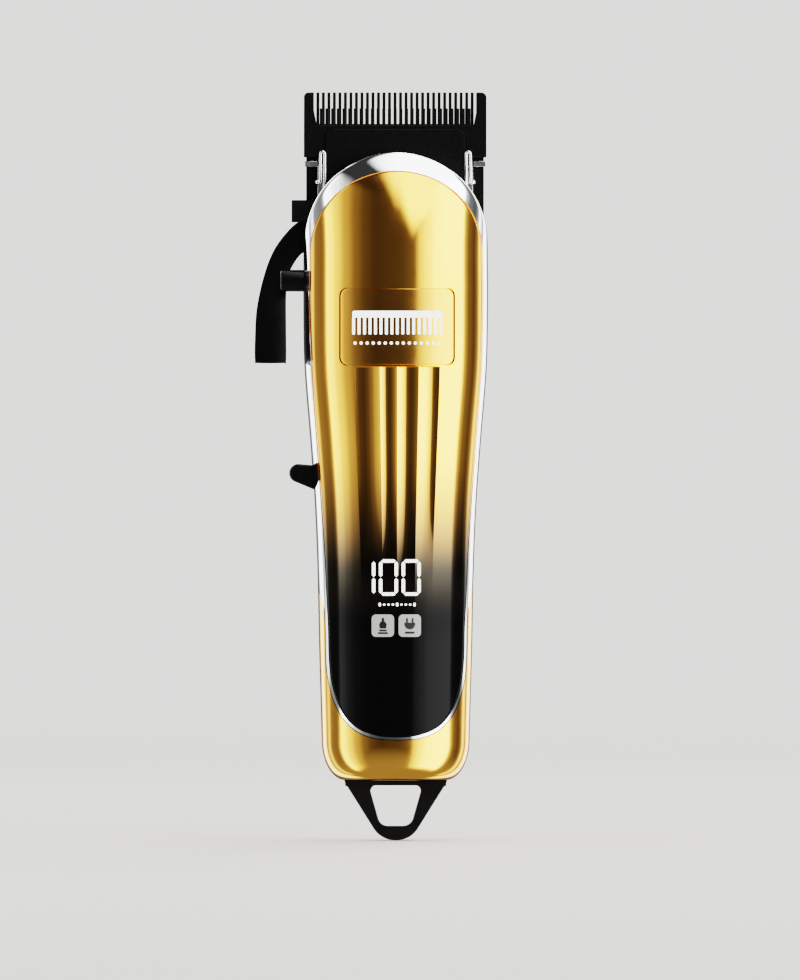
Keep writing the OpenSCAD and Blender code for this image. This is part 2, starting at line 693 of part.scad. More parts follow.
battery_y = 1.5;
battery_r = 9.2;
module battery_cell() color("#2c6fb5") difference() {
    pin_z(0, battery_y, 17, 81, battery_r);
    pin_z(0, battery_y, 80, 82, battery_r - 1);
}
module battery_terminals() color("silver") {
    pin_z(0, battery_y, 80, 82.2, 2.8);
    box([-3.5, battery_y - 2.5, 82.2], [3.5, battery_y + 2.5, 82.4]);
    box([-3.5, battery_y - 11.5, 16.8], [3.5, battery_y + 3, 17]);
}
module battery_cradles() color("#303030") for (z = [33, 70]) difference() {
    intersection() {
        pin_z(0, battery_y, z, z + 5, 10.3);
        box([-12, battery_y - 7, z], [12, 14, z + 5]);
    }
    pin_z(0, battery_y, z - 1, z + 6, battery_r + 0.01);
}
module main_board() color("darkgreen") {
    box([-12.5, -10.2, 31], [12.5, -8.6, 82]);
    box([-7, -11.4, 66], [0, -10.2, 73]);
    box([3, -11, 68], [8, -10.2, 72]);
}
module display_board() color("darkgreen") {
    box([-7.8, -13.4, 39], [7.8, -12.4, 65]);
    box([-6.6, -14.4, 52.5], [6.4, -13.4, 62]);
    for (x = [-5.4, 1.4]) box([x, -14.2, 43], [x + 3.6, -13.4, 47.5]);
    for (z = [40, 63]) box([-1.5, -12.4, z], [1.5, -10.2, z + 1.5]);
}
module charge_socket() color("silver") difference() {
    translate([0, 8, body_bottom + 0.4]) linear_extrude(7.4) rounded_rect(8.9, 3.2, 1.5);
    difference() {
        translate([0, 8, body_bottom]) linear_extrude(7) rounded_rect(8.3, 2.6, 1.2);
        box([-3.3, 7.65, 0], [3.3, 8.35, 20]);
    }
}
module charge_board() color("darkgreen") box([-6.5, 5, body_bottom + 7.9], [6.5, 10, body_bottom + 9.1]);

// Cross-head screw whose head rests at the seat
module shell_screw(seat) {
    pin_y(0, 0, seat - 5.5, seat + 0.1, 1.15);
    difference() {
        pin_y(0, 0, seat, seat + 1.2, 2.4);
        for (a = [0, 90]) translate([0, seat + 1.2, 0]) rotate([0, a, 0]) cube([3.4, 1.4, 0.6], center = true);
    }
}
module shell_screws() color("#404040") {
    boss_places() shell_screw(low_seat);
    pillar_places() shell_screw(top_seat);
}

cap_floor = -25.9;
cap_rim = -23.95;
cap_r = 2.7;
collar_r = 2.2;
module power_button() color("#151515") {
    pin_x(button_y, button_z, cap_floor - 0.05, -19.4, 1.5);
    pin_x(button_y, button_z, -20, -19.4, 2.1);
    difference() {
        pin_x(button_y, button_z, cap_floor - 0.1, cap_rim, cap_r);
        pin_x(button_y, button_z, cap_floor, cap_rim + 1, collar_r + running);
    }
    intersection() {
        pin_x(button_y, button_z, -28.85, cap_floor, cap_r);
        translate([cap_floor + 0.3, button_y, button_z]) sphere(r = 3.25);
    }
}
module button_collar() color("#202020") difference() {
    pin_x(button_y, button_z, cap_floor + 0.95, -23.12, collar_r);
    pin_x(button_y, button_z, -26, -22, 1.56);
}
module button_spring() color("silver") for (i = [0:3])
    translate([-19.2 + i * 0.48, button_y, button_z]) rotate([0, 90, 0])
        rotate_extrude() translate([1.7, 0]) circle(r = 0.18);
module tact_switch() color("#303030") {
    box([-17.5, button_y - 3, button_z - 3], [-14, button_y + 3, button_z + 3]);
    pin_x(button_y, button_z, -18.5, -17.4, 1);
}
module speed_slider() color("#151515") {
    along_y(-2.3, 0.3) {
        translate([-24.3, slider_z1 - 2.3]) circle(r = 2.3);
        polygon([[-24.3, slider_z1], [-17.6, slider_z1 - 0.6], [-17.6, slider_z0], [-20.6, slider_z0 + 0.2],
                 [-25.2, slider_z1 - 4.4]]);
    }
    box([-17.7, -4, slider_z0 - 4], [-16.9, 2, slider_z1 + 4]);
    box([-17, -2, slider_z0 + 2], [-14.6, 0, slider_z1 - 2]);
}
module switch_body() color("#505050") difference() {
    box([-16.2, -5, 77], [-13, -2.5, 92]);
    box([-20, -2.6, 70], [-10, 3, 95]);
}

rear_shell();
chrome_frame();
face_plate();
badge_plate();
badge_mark();
display_digits();
display_ticks();
icon_tiles();
icon_glyphs();
display_board();
side_inlay();
hang_loop();
nose_chassis();
shell_screws();
charge_socket();
charge_board();
main_board();
battery_cell();
battery_terminals();
battery_cradles();
motor_can();
motor_magnets();
motor_end_cap();
motor_bush();
motor_mount();
motor_screws();
rotor_shaft();
rotor_core();
rotor_windings();
commutator();
eccentric_cam();
cam_bearing();
drive_rocker();
rocker_pin();
moving_blade();
cutter_guide();
guide_rivets();
fixed_blade();
blade_frame();
blade_screws();
frame_screws();
taper_bracket();
tension_spring();
spring_clamps();
clamp_screws();
taper_lever();
lever_screw();
lever_washer();
power_button();
button_collar();
button_spring();
tact_switch();
speed_slider();
switch_body();
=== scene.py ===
import json
import math

import bmesh
import bpy
import numpy as np
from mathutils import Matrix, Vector

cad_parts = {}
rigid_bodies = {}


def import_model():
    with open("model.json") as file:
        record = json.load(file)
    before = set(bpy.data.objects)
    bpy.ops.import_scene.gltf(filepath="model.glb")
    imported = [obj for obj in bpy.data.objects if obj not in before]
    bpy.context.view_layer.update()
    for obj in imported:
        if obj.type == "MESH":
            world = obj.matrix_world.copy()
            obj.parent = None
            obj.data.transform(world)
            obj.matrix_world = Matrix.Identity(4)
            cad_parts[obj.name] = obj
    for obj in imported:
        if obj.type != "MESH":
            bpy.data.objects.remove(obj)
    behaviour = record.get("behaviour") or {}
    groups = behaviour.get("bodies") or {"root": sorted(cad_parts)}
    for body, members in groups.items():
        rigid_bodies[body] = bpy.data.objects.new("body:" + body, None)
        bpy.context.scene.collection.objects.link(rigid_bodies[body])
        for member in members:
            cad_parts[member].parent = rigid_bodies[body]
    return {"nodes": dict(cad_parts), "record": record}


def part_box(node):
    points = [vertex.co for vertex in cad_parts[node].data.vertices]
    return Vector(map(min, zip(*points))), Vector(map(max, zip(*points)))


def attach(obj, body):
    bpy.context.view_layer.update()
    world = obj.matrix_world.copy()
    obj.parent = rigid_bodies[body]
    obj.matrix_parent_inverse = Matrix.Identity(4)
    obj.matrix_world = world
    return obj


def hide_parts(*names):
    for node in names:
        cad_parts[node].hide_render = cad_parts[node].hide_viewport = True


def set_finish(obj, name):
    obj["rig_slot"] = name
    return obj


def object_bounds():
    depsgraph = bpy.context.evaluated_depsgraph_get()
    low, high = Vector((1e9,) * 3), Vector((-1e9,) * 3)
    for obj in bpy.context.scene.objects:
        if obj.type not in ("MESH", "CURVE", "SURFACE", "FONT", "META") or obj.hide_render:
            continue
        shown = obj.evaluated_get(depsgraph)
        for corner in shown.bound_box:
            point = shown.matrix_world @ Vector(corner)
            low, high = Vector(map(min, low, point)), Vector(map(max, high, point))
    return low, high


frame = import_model()
cad_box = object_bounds()

# Lengths below are in millimetres, in the CAD frame: Z runs up to the blade and the face looks along -Y.
MM = 0.001
SLOT_OF = {s["node"]: s["material_slot"] for s in frame["record"]["subparts"]}
BODY_OF = {n: b for b, nodes in frame["record"]["behaviour"]["bodies"].items() for n in nodes}


def low(node):
    return [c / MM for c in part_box(node)[0]]


def high(node):
    return [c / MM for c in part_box(node)[1]]


DECK_Z = high("rear_shell")[2]
ARCH_TOP_Z = high("chrome_frame")[2]
FACE_LOW_Z = low("face_plate")[2]
FACE_TOP_Z = high("face_plate")[2]
BADGE_LOW, BADGE_HIGH = low("badge_plate"), high("badge_plate")
BADGE_Z = (BADGE_LOW[2] + BADGE_HIGH[2]) / 2
BADGE_W = BADGE_HIGH[0] - BADGE_LOW[0]
BADGE_H = BADGE_HIGH[2] - BADGE_LOW[2]
BADGE_R = 1.9
BADGE_SUNK = 0.14

# ---------------------------------------------------------------- the housing's surface

# Housing stations: height, half width, depth to the front, depth to the back
STATIONS = np.array([
    [6, 18.2, 15, 12.4], [16, 18.45, 15.8, 13.2], [39, 19.1, 17, 15], [61.5, 19.6, 17.8, 16],
    [76.5, 20.25, 18.2, 16.6], [91.5, 21.35, 18.7, 17], [110, 22.8, 19.2, 16.6],
    [126.5, 23.1, 19.4, 13.6], [141.5, 23, 18.8, 9.6], [150, 23, 16.8, 8],
    [158.5, 23, 12, 6.5], [163.5, 23, 6.4, 5.5], [167, 23, 3.6, 5],
])
# Face plate sides between the bottom curve and the top arch: height, half width
FACE_SIDE = np.array([
    [44, 16.9], [51.5, 17.3], [64, 17.85], [76.5, 18.75], [89, 19.65], [101.5, 20.55], [114, 21.2],
    [126.5, 21.65], [138.5, 21.4],
])
SECTION_POWER = 2.4
FACE_FOOT_POWER = 2.85
# The housing rests on its lowest ring; the loop hangs below it.
BODY_LOW_Z = low("rear_shell")[2]
TUCK_H, TUCK_X, TUCK_Y = 9.5, 5.6, 5.0
TUCK_Z = BODY_LOW_Z + TUCK_H
ARCH_R = 23.0
ARCH_Z = ARCH_TOP_Z - ARCH_R
FACE_ARCH_Z = FACE_SIDE[-1, 0]
FACE_ARCH_W = FACE_SIDE[-1, 1]
SPLIT_Y = 2.2
NOSE_BACK_Y = 0.8
NOSE_CUT_Z = 150.5
SEAM = 0.16
INSET = 0.02
BEAD_W = 0.6


def curve(table, z, column):
    """Smooth curve through one column of a station table, as the CAD model draws it."""
    z = np.asarray(z, float)
    knots, values = table[:, 0], table[:, column]
    slopes = np.empty(len(knots))
    slopes[1:-1] = (values[2:] - values[:-2]) / (knots[2:] - knots[:-2])
    slopes[0] = (values[1] - values[0]) / (knots[1] - knots[0])
    slopes[-1] = (values[-1] - values[-2]) / (knots[-1] - knots[-2])
    i = np.clip(np.searchsorted(knots, z, side="right") - 1, 0, len(knots) - 2)
    h = knots[i + 1] - knots[i]
    t = np.clip((z - knots[i]) / h, 0, 1)
    return ((2 * t**3 - 3 * t**2 + 1) * values[i] + (t**3 - 2 * t**2 + t) * h * slopes[i]
            + (3 * t**2 - 2 * t**3) * values[i + 1] + (t**3 - t**2) * h * slopes[i + 1])


def tuck(z):
    t = np.clip((TUCK_Z - np.asarray(z, float)) / TUCK_H, 0, 1)
    return 1 - np.sqrt(1 - t**2)


def half_width(z):
    return curve(STATIONS, z, 1) - TUCK_X * tuck(z)


def front_depth(z):
    return curve(STATIONS, z, 2) - INSET - TUCK_Y * tuck(z)


def back_depth(z):
    return curve(STATIONS, z, 3) - INSET - TUCK_Y * tuck(z)


def front_y(x, z):
    """The housing's front surface."""
    u = np.clip(np.abs(x) / half_width(z), 0, 1)
    return -front_depth(z) * (1 - u**SECTION_POWER) ** (1 / SECTION_POWER)


def side_x(y, z):
    """Half width of the housing's section at depth y."""
    depth = np.where(np.asarray(y) < 0, front_depth(z), back_depth(z))
    v = np.clip(np.abs(y) / depth, 0, 1)
    return half_width(z) * (1 - v**SECTION_POWER) ** (1 / SECTION_POWER)


def smoothstep(a, b, x):
    t = np.clip((np.asarray(x, float) - a) / (b - a), 0, 1)
    return t * t * (3 - 2 * t)


def face_half():
    """Right half of the face plate's outline in X and Z, from its lowest point to its top."""
    power = 2 / FACE_FOOT_POWER
    a = np.radians(np.linspace(0, 90, 200))[:-1]
    drop = FACE_SIDE[0, 0] - FACE_LOW_Z
    bottom = np.column_stack([FACE_SIDE[0, 1] * np.sin(a) ** power,
                              FACE_SIDE[0, 0] - drop * np.cos(a) ** power])
    z = np.linspace(FACE_SIDE[0, 0], FACE_ARCH_Z, 300)
    side = np.column_stack([curve(FACE_SIDE, z, 1), z])
    a = np.radians(np.linspace(0, 90, 120))[1:]
    top = np.column_stack([FACE_ARCH_W * np.cos(a), FACE_ARCH_Z + (FACE_TOP_Z - FACE_ARCH_Z) * np.sin(a)])
    return np.vstack([bottom, side, top])


def resample(path, spacing):
    step = np.linalg.norm(np.diff(path, axis=0), axis=1)
    s = np.concatenate([[0], np.cumsum(step)])
    n = max(2, int(round(s[-1] / spacing)) + 1)
    at = np.linspace(0, s[-1], n)
    return np.column_stack([np.interp(at, s, path[:, c]) for c in range(path.shape[1])])


def outward(path):
    """Outward normals of a right half outline whose ends lie on X = 0."""
    t = np.gradient(path, axis=0)
    t[0] = (1, 0)
    t[-1] = (-1, 0)
    n = np.column_stack([t[:, 1], -t[:, 0]])
    return n / np.linalg.norm(n, axis=1)[:, None]


# ---------------------------------------------------------------- mesh helpers

# Angles in degrees: edges sharper than the first get broken, faces flatter than the second are merged
EDGE_ANGLE = 40
COPLANAR = 1.0


def make(name, points, faces, weld=2e-6, sharp=35):
    """A mesh object from points in millimetres, welded, with clean normals."""
    mesh = bpy.data.meshes.new(name)
    mesh.from_pydata([tuple(p) for p in np.asarray(points, float) * MM], [], faces)
    bm = bmesh.new()
    bm.from_mesh(mesh)
    bmesh.ops.remove_doubles(bm, verts=bm.verts, dist=weld)
    bmesh.ops.dissolve_degenerate(bm, edges=bm.edges, dist=1e-7)
    bmesh.ops.recalc_face_normals(bm, faces=bm.faces)
    bm.to_mesh(mesh)
    bm.free()
    return place(name, mesh, sharp)


def place(name, mesh, sharp=35):
    mesh.shade_smooth()
    mesh.set_sharp_from_angle(angle=math.radians(sharp))
    obj = bpy.data.objects.new(name, mesh)
    bpy.context.scene.collection.objects.link(obj)
    return obj


def sheet_faces(rows, columns, start=0, flip=False, close_rows=False, close_columns=False):
    """Quads over a grid of points that is stored row by row."""
    i = np.arange(rows if close_rows else rows - 1)
    j = np.arange(columns if close_columns else columns - 1)
    i, j = np.meshgrid(i, j, indexing="ij")
    a = start + i * columns + j
    b = start + i * columns + (j + 1) % columns
    c = start + ((i + 1) % rows) * columns + (j + 1) % columns
    d = start + ((i + 1) % rows) * columns + j
    quads = np.stack([a, b, c, d] if not flip else [d, c, b, a], axis=-1)
    return quads.reshape(-1, 4).tolist()


def plate(name, path, columns, surface, edge, thickness, back=None):
    """A closed plate that lies on a surface y = f(x, z). path is its right half outline, columns its
    divisions from -1 to 1, edge the radius of its rim."""
    back = back or surface
    n = outward(path)
    inner = path - edge * n
    inner[0, 0] = inner[-1, 0] = 0
    x = inner[:, :1] * columns[None, :]
    z = np.repeat(inner[:, 1:], len(columns), axis=1)
    y = surface(x, z)
    rim = []
    for a in np.radians(np.arange(15, 91, 15)):
        p = inner + edge * math.sin(a) * n
        rim.append((p[:, 0], surface(p[:, 0], p[:, 1]) + edge * (1 - math.cos(a)), p[:, 1]))
    p = inner + edge * n
    rim.append((p[:, 0], surface(p[:, 0], p[:, 1]) + thickness, p[:, 1]))
    right = np.stack([np.column_stack(r) for r in rim], axis=1)
    left = right[:, ::-1].copy()
    left[:, :, 0] *= -1
    front = np.concatenate([left, np.stack([x, y, z], axis=-1), right], axis=1)
    xb = (inner + 0.4 * edge * n)[:, :1] * columns[None, :]
    rear = np.stack([xb, back(xb, z) + thickness, z], axis=-1)
    loop = np.concatenate([front, rear[:, ::-1]], axis=1)
    rows, across = loop.shape[:2]
    return make(name, loop.reshape(-1, 3), sheet_faces(rows, across, close_columns=True), sharp=60)


def broken_edges(obj, width, segments):
    """Rounds the edges of a piece and keeps its broad faces flat."""
    mod = obj.modifiers.new("edge", "BEVEL")
    mod.width = width * MM
    mod.segments = segments
    mod.limit_method = "ANGLE"
    mod.angle_limit = math.radians(EDGE_ANGLE)
    obj.modifiers.new("flat", "WEIGHTED_NORMAL").keep_sharp = True
    apply_modifiers(obj)


def refined(node, bevel):
    """A CAD node's shape with its edges broken, riding where the node rides."""
    mesh = frame["nodes"][node].data.copy()
    mesh.materials.clear()
    bm = bmesh.new()
    bm.from_mesh(mesh)
    bmesh.ops.remove_doubles(bm, verts=bm.verts, dist=1e-6)
    bmesh.ops.dissolve_limit(bm, angle_limit=math.radians(COPLANAR), verts=bm.verts, edges=bm.edges)
    bm.to_mesh(mesh)
    bm.free()
    if mesh.has_custom_normals:
        mesh.attributes.remove(mesh.attributes["custom_normal"])
    obj = place(node + "_fine", mesh, EDGE_ANGLE)
    broken_edges(obj, bevel, 2)
    own(obj, node)


def apply_modifiers(obj):
    depsgraph = bpy.context.evaluated_depsgraph_get()
    mesh = bpy.data.meshes.new_from_object(obj.evaluated_get(depsgraph))
    obj.modifiers.clear()
    obj.data = mesh


def own(obj, node):
    """obj rides with a CAD node's body, takes its slot, and stands for it."""
    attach(obj, BODY_OF[node])
    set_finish(obj, SLOT_OF[node])
    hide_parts(node)


def cut(obj, cutters, sharp=35, operation="DIFFERENCE"):
    """Takes the cutters out of obj, or keeps what they share."""
    for tool in cutters:
        mod = obj.modifiers.new("cut", "BOOLEAN")
        mod.operation = operation
        mod.solver = "EXACT"
        mod.object = tool
    apply_modifiers(obj)
    for tool in cutters:
        bpy.data.objects.remove(tool)
    obj.data.set_sharp_from_angle(angle=math.radians(sharp))


def prism(outline, axis, start, end):
    """A closed prism: outline in the two other axes, run from start to end along axis."""
    order = {"x": (2, 0, 1), "y": (0, 2, 1), "z": (0, 1, 2)}[axis]
    n = len(outline)
    points = [[*p, start] for p in outline] + [[*p, end] for p in outline]
    points = np.array(points)[:, order]
    faces = [list(range(n))[::-1], [n + i for i in range(n)]]
    faces += [[i, (i + 1) % n, n + (i + 1) % n, n + i] for i in range(n)]
    return make("cutter", points, faces)


def circle(cx, cy, r, n=48):
    turns = [2 * math.pi * i / n for i in range(n)]
    return [(cx + r * math.cos(a), cy + r * math.sin(a)) for a in turns]


def rounded(cx, cy, w, h, r, n=8):
    points = []
    for q, (sx, sy) in enumerate([(1, 1), (-1, 1), (-1, -1), (1, -1)]):
        for k in range(n + 1):
            a = math.pi / 2 * (q + k / n)
            points.append((cx + sx * (w / 2 - r) + r * math.cos(a), cy + sy * (h / 2 - r) + r * math.sin(a)))
    return points


def decal(name, outlines, surface, lift, depth=0.12, step=0.8):
    """Thin closed shapes that follow a surface: each outline is a list of points in X and Z."""
    bm = bmesh.new()
    for outline in outlines:
        rings = [[bm.verts.new((x, y, z)) for x, z in outline] for y in (-lift, depth - lift)]
        n = len(outline)
        bm.faces.new(rings[0])
        bm.faces.new(rings[1][::-1])
        for i in range(n):
            bm.faces.new([rings[0][(i + 1) % n], rings[0][i], rings[1][i], rings[1][(i + 1) % n]])
    points = np.array([v.co for v in bm.verts])
    for axis in (0, 2):
        for at in np.arange(math.floor(points[:, axis].min()), points[:, axis].max(), step) + 0.013:
            normal = [0, 0, 0]
            normal[axis] = 1
            place_at = [0, 0, 0]
            place_at[axis] = at
            bmesh.ops.bisect_plane(bm, geom=bm.verts[:] + bm.edges[:] + bm.faces[:], plane_co=place_at,
                                   plane_no=normal)
    bmesh.ops.recalc_face_normals(bm, faces=bm.faces)
    for v in bm.verts:
        x, y, z = v.co
        v.co = Vector((x, y + float(surface(np.array(x), np.array(z))), z)) * MM
    mesh = bpy.data.meshes.new(name)
    bm.to_mesh(mesh)
    bm.free()
    return place(name, mesh)


# ---------------------------------------------------------------- face plate, badge and display

FLUTE_CREASES = (-0.52, -0.215, -0.004, 0.26, 0.515)
FLUTE_TOP_Z = BADGE_LOW[2] - 0.45
FLUTE_STEEP = 0.11
CREASE_HALF = 0.0035
RIM = 0.35
FACE_THICK = 1.5
# The badge lies in a pocket of the face plate: its depth, and the groove's width round the badge
RECESS = 1.1
GROOVE = 0.25


def face_width(z):
    return np.interp(z, FACE_HALF[:, 1], FACE_HALF[:, 0])


def flutes(x, z):
    """Depth of the concave channels below the badge."""
    wide = np.maximum(face_width(z) - RIM, 1)
    u = x / wide
    depth = np.zeros_like(u)
    for a, b in zip(FLUTE_CREASES, FLUTE_CREASES[1:]):
        t = np.clip((u - a) / (b - a), 0, 1)
        depth = np.maximum(depth, 4 * t * (1 - t) * (b - a))
    fade = smoothstep(46, 84, z) * (1 - smoothstep(FLUTE_TOP_Z - 0.12, FLUTE_TOP_Z + 0.12, z))
    return FLUTE_STEEP * depth * wide * fade


def face_surface(x, z):
    return front_y(x, z) + flutes(x, z)


FACE_HALF = face_half()


def make_face_plate():
    path = resample(FACE_HALF, 0.75)
    side = (path[:, 1] > FACE_SIDE[0, 0]) & (path[:, 1] < FACE_ARCH_Z)
    step_z = np.arange(FLUTE_TOP_Z - 0.3, FLUTE_TOP_Z + 0.3 + 1e-6, 0.06)
    z = np.unique(np.round(np.concatenate([path[side, 1], step_z]), 3))
    side_path = np.column_stack([np.interp(z, FACE_HALF[:, 1], FACE_HALF[:, 0]), z])
    first = int(np.argmax(side))
    last = len(side) - int(np.argmax(side[::-1]))
    path = np.vstack([path[:first], side_path, path[last:]])
    creases = np.array(FLUTE_CREASES)
    plain = [x for x in np.linspace(-1, 1, 81) if np.abs(creases - x).min() > 0.012]
    columns = np.unique(np.concatenate([plain, creases - CREASE_HALF, creases, creases + CREASE_HALF,
                                        [-0.99, 0.99]]))
    obj = plate("face_plate_fine", path, columns, face_surface, RIM, FACE_THICK, back=front_y)
    outline = box_half(BADGE_W + 2 * GROOVE, BADGE_H + 2 * GROOVE, BADGE_R + GROOVE, BADGE_Z)
    ahead = 2.5
    pocket = plate("pocket", outline, np.linspace(-1, 1, 41), lambda x, z: front_y(x, z) - ahead, 0.05,
                   ahead + RECESS)
    cut(obj, [pocket], sharp=60)
    own(obj, "face_plate")


def box_half(w, h, r, cz, step=0.5):
    """Right half of a rounded rectangle's outline, from its lowest point to its top."""
    corner = np.radians(np.linspace(-90, 0, 9))
    low_corner = np.column_stack([w / 2 - r + r * np.cos(corner), cz - h / 2 + r + r * np.sin(corner)])
    high_corner = np.column_stack([low_corner[::-1, 0], 2 * cz - low_corner[::-1, 1]])
    ends = [np.array([[0, cz - h / 2]]), np.array([[0, cz + h / 2]])]
    across = np.arange(step, w / 2 - r, step)
    foot = np.column_stack([across, np.full(len(across), cz - h / 2)])
    head = np.column_stack([across[::-1], np.full(len(across), cz + h / 2)])
    rise = np.arange(cz - h / 2 + r + step, cz + h / 2 - r, step)
    side = np.column_stack([np.full(len(rise), w / 2), rise])
    return np.vstack([ends[0], foot, low_corner, side, high_corner, head, ends[1]])


def badge_surface(x, z):
    return front_y(x, z) + BADGE_SUNK


def make_badge():
    path = box_half(BADGE_W - 0.1, BADGE_H - 0.1, BADGE_R, BADGE_Z)
    obj = plate("badge_plate_fine", path, np.linspace(-1, 1, 41), badge_surface, 0.2, 0.34)
    own(obj, "badge_plate")
    comb = [rounded(0, BADGE_Z + 3.1, 22.4, 1.7, 0.5)]
    comb += [rounded(i * 1.36, BADGE_Z + 0.2, 0.72, 4.4, 0.3) for i in range(-8, 9)]
    dots = [rounded(i * 1.5, BADGE_Z - 4.1, 0.8, 0.8, 0.38) for i in range(-7, 8)]
    mark = decal("badge_mark_fine", comb + dots, badge_surface, 0.05)
    own(mark, "badge_mark")


PRINT_LIFT = 0.1
DIGIT_Z = (low("display_digits")[2] + high("display_digits")[2]) / 2
DIGIT_H = high("display_digits")[2] - low("display_digits")[2]
# A digit's bars: their width and half the gap between two of them
SEGMENT = 0.86
GAP = 0.13
TICK_Z = 50.45


def segment(x, z, length, upright):
    s = SEGMENT / 2
    bar = [(s, s), (length - s, s), (length, 0), (length - s, -s), (s, -s), (0, 0)]
    return [(x - b, z + a) if upright else (x + a, z + b) for a, b in bar]


def digit_one(x):
    h = (DIGIT_H - SEGMENT) / 2
    return [segment(x, DIGIT_Z + z + GAP, h - 2 * GAP, True) for z in (-h, 0)]


def digit_zero(x, w):
    h = (DIGIT_H - SEGMENT) / 2
    bars = [segment(x + SEGMENT / 2 + GAP, DIGIT_Z + z, w - SEGMENT - 2 * GAP, False) for z in (-h, h)]
    for side in (SEGMENT / 2, w - SEGMENT / 2):
        bars += [segment(x + side, DIGIT_Z + z + GAP, h - 2 * GAP, True) for z in (-h, 0)]
    return bars


def make_display():
    digits = digit_one(-5.85) + digit_zero(-4.55, 4.75) + digit_zero(1.1, 4.8)
    own(decal("display_digits_fine", digits, face_surface, PRINT_LIFT), "display_digits")
    ticks = [rounded(i * 1.08, TICK_Z, 0.6, 0.9 if i % 4 == 0 else 0.5, 0.2, 3) for i in range(-4, 5)]
    own(decal("display_ticks_fine", ticks, face_surface, PRINT_LIFT), "display_ticks")
    lx, lz, hx, hz = *low("icon_tiles")[::2], *high("icon_tiles")[::2]
    size, cz = hz - lz, (lz + hz) / 2
    left, right = lx + size / 2, hx - size / 2
    tiles = [rounded(x, cz, size, size, 1.05) for x in (left, right)]
    own(decal("icon_tiles_fine", tiles, face_surface, PRINT_LIFT), "icon_tiles")
    bottle = [(-0.75, -0.7), (0.75, -0.7), (0.95, 0.35), (0.55, 0.95), (0.3, 1.1), (0.3, 1.9), (-0.3, 1.9),
              (-0.3, 1.1), (-0.55, 0.95), (-0.95, 0.35)]
    glyphs = [[(left + x, cz + z) for x, z in bottle]]
    glyphs += [rounded(left, cz - z, w, 0.42, 0.15, 3) for z, w in ((1.2, 1.9), (1.85, 2.5))]
    plug = [(-1.35, 0.75), (-1.35, 0.1), (-0.9, -0.65), (-0.3, -0.9), (0.3, -0.9), (0.9, -0.65), (1.35, 0.1),
            (1.35, 0.75)]
    glyphs.append([(right + x, cz + z) for x, z in plug])
    glyphs += [rounded(right + x, cz + 1.3, 0.45, 1.2, 0.15, 3) for x in (-0.7, 0.7)]
    glyphs.append(rounded(right, cz - 1.75, 2.4, 0.5, 0.15, 3))
    own(decal("icon_glyphs_fine", glyphs, face_surface, 0.15, 0.1), "icon_glyphs")


# ---------------------------------------------------------------- chrome frame and rear shell

# The chrome frame is a narrow bead round the face's foot. Above the first height it widens to the sides, and
# from the last one up its edge is the straight seam.
BEAD_TOP_Z, WIDEN_Z, SEAM_Z = 47, 49.5, 58.5


def split_limit(z):
    """Depth of the seam between the chrome frame and the rear shell, at the sides."""
    return np.interp(z, [BEAD_TOP_Z, WIDEN_Z, SEAM_Z], [-40, -9, SPLIT_Y])


def smoothed(points, rounds):
    """Evens out rows of points and keeps the two end rows."""
    for _ in range(rounds):
        points[1:-1] = 0.25 * points[:-2] + 0.5 * points[1:-1] + 0.25 * points[2:]


def frame_strip(p, n):
    """Points across the chrome frame from the face plate's edge outward and round the side."""
    z = p[1]
    reach = np.linspace(0, 1, 120) ** 0.5
    if z > FACE_ARCH_Z:
        ray = p - np.array([0, ARCH_Z])
        ray = ray / np.linalg.norm(ray)
        end = np.array([0, ARCH_Z]) + ARCH_R * ray
    elif z > BEAD_TOP_Z:
        end = np.array([half_width(z), z])
    else:
        end = p + BEAD_W * n
    flat = p + reach[:, None] * (end - p)
    strip = np.column_stack([flat[:, 0], front_y(flat[:, 0], flat[:, 1]), flat[:, 1]])
    if z > BEAD_TOP_Z:
        depth = NOSE_BACK_Y if end[1] > NOSE_CUT_Z else SPLIT_Y
        run = np.append(np.arange(strip[-1, 1] + 0.3, depth + 0.01, 0.3), depth)
        wide = side_x(np.maximum(run, 0), end[1])
        if end[1] > ARCH_Z:
            wide = np.minimum(wide, abs(end[0]))
        wall = np.column_stack([wide, run, np.full(len(run), end[1])])
        strip = np.vstack([strip, wall])
        bead_x = p[0] + BEAD_W
        limit = max(float(front_y(np.array(bead_x), z)), float(split_limit(z))) if z < SEAM_Z else depth
        strip = strip[strip[:, 1] <= limit]
    return strip


def make_chrome_frame(across=44):
    path = resample(FACE_HALF, 0.9)
    n = outward(path)
    path = path + SEAM * n
    path[0, 0] = path[-1, 0] = 0
    rows = []
    for p, normal in zip(path, n):
        strip = frame_strip(p, normal)
        s = np.concatenate([[0], np.cumsum(np.linalg.norm(np.diff(strip, axis=0), axis=1))])
        at = np.linspace(0, s[-1], across)
        strip = np.column_stack([np.interp(at, s, strip[:, c]) for c in range(3)])
        smoothed(strip, 6)
        rows.append(strip)
    right = np.array(rows)
    smoothed(right, 3)
    left = right[::-1][1:-1].copy()
    left[:, :, 0] *= -1
    ring = np.concatenate([right, left])
    back = ring.copy()
    back[:, :, 0] *= 0.93
    back[:, :, 1] += 1.2
    back[:, :, 2] = np.where(back[:, :, 2] > ARCH_Z, ARCH_Z + (back[:, :, 2] - ARCH_Z) * 0.94,
                             back[:, :, 2])
    back[:, :, 1] = np.minimum(back[:, :, 1], ring[:, -1:, 1])
    inner_edge = ring[:, :1].copy()
    inner_edge[:, :, 1] += 0.25
    outer_edge = ring[:, -1:].copy()
    loop = np.concatenate([inner_edge, ring, outer_edge, back[:, ::-1]], axis=1)
    faces = sheet_faces(*loop.shape[:2], close_rows=True, close_columns=True)
    return make("chrome_frame_fine", loop.reshape(-1, 3), faces, sharp=40)


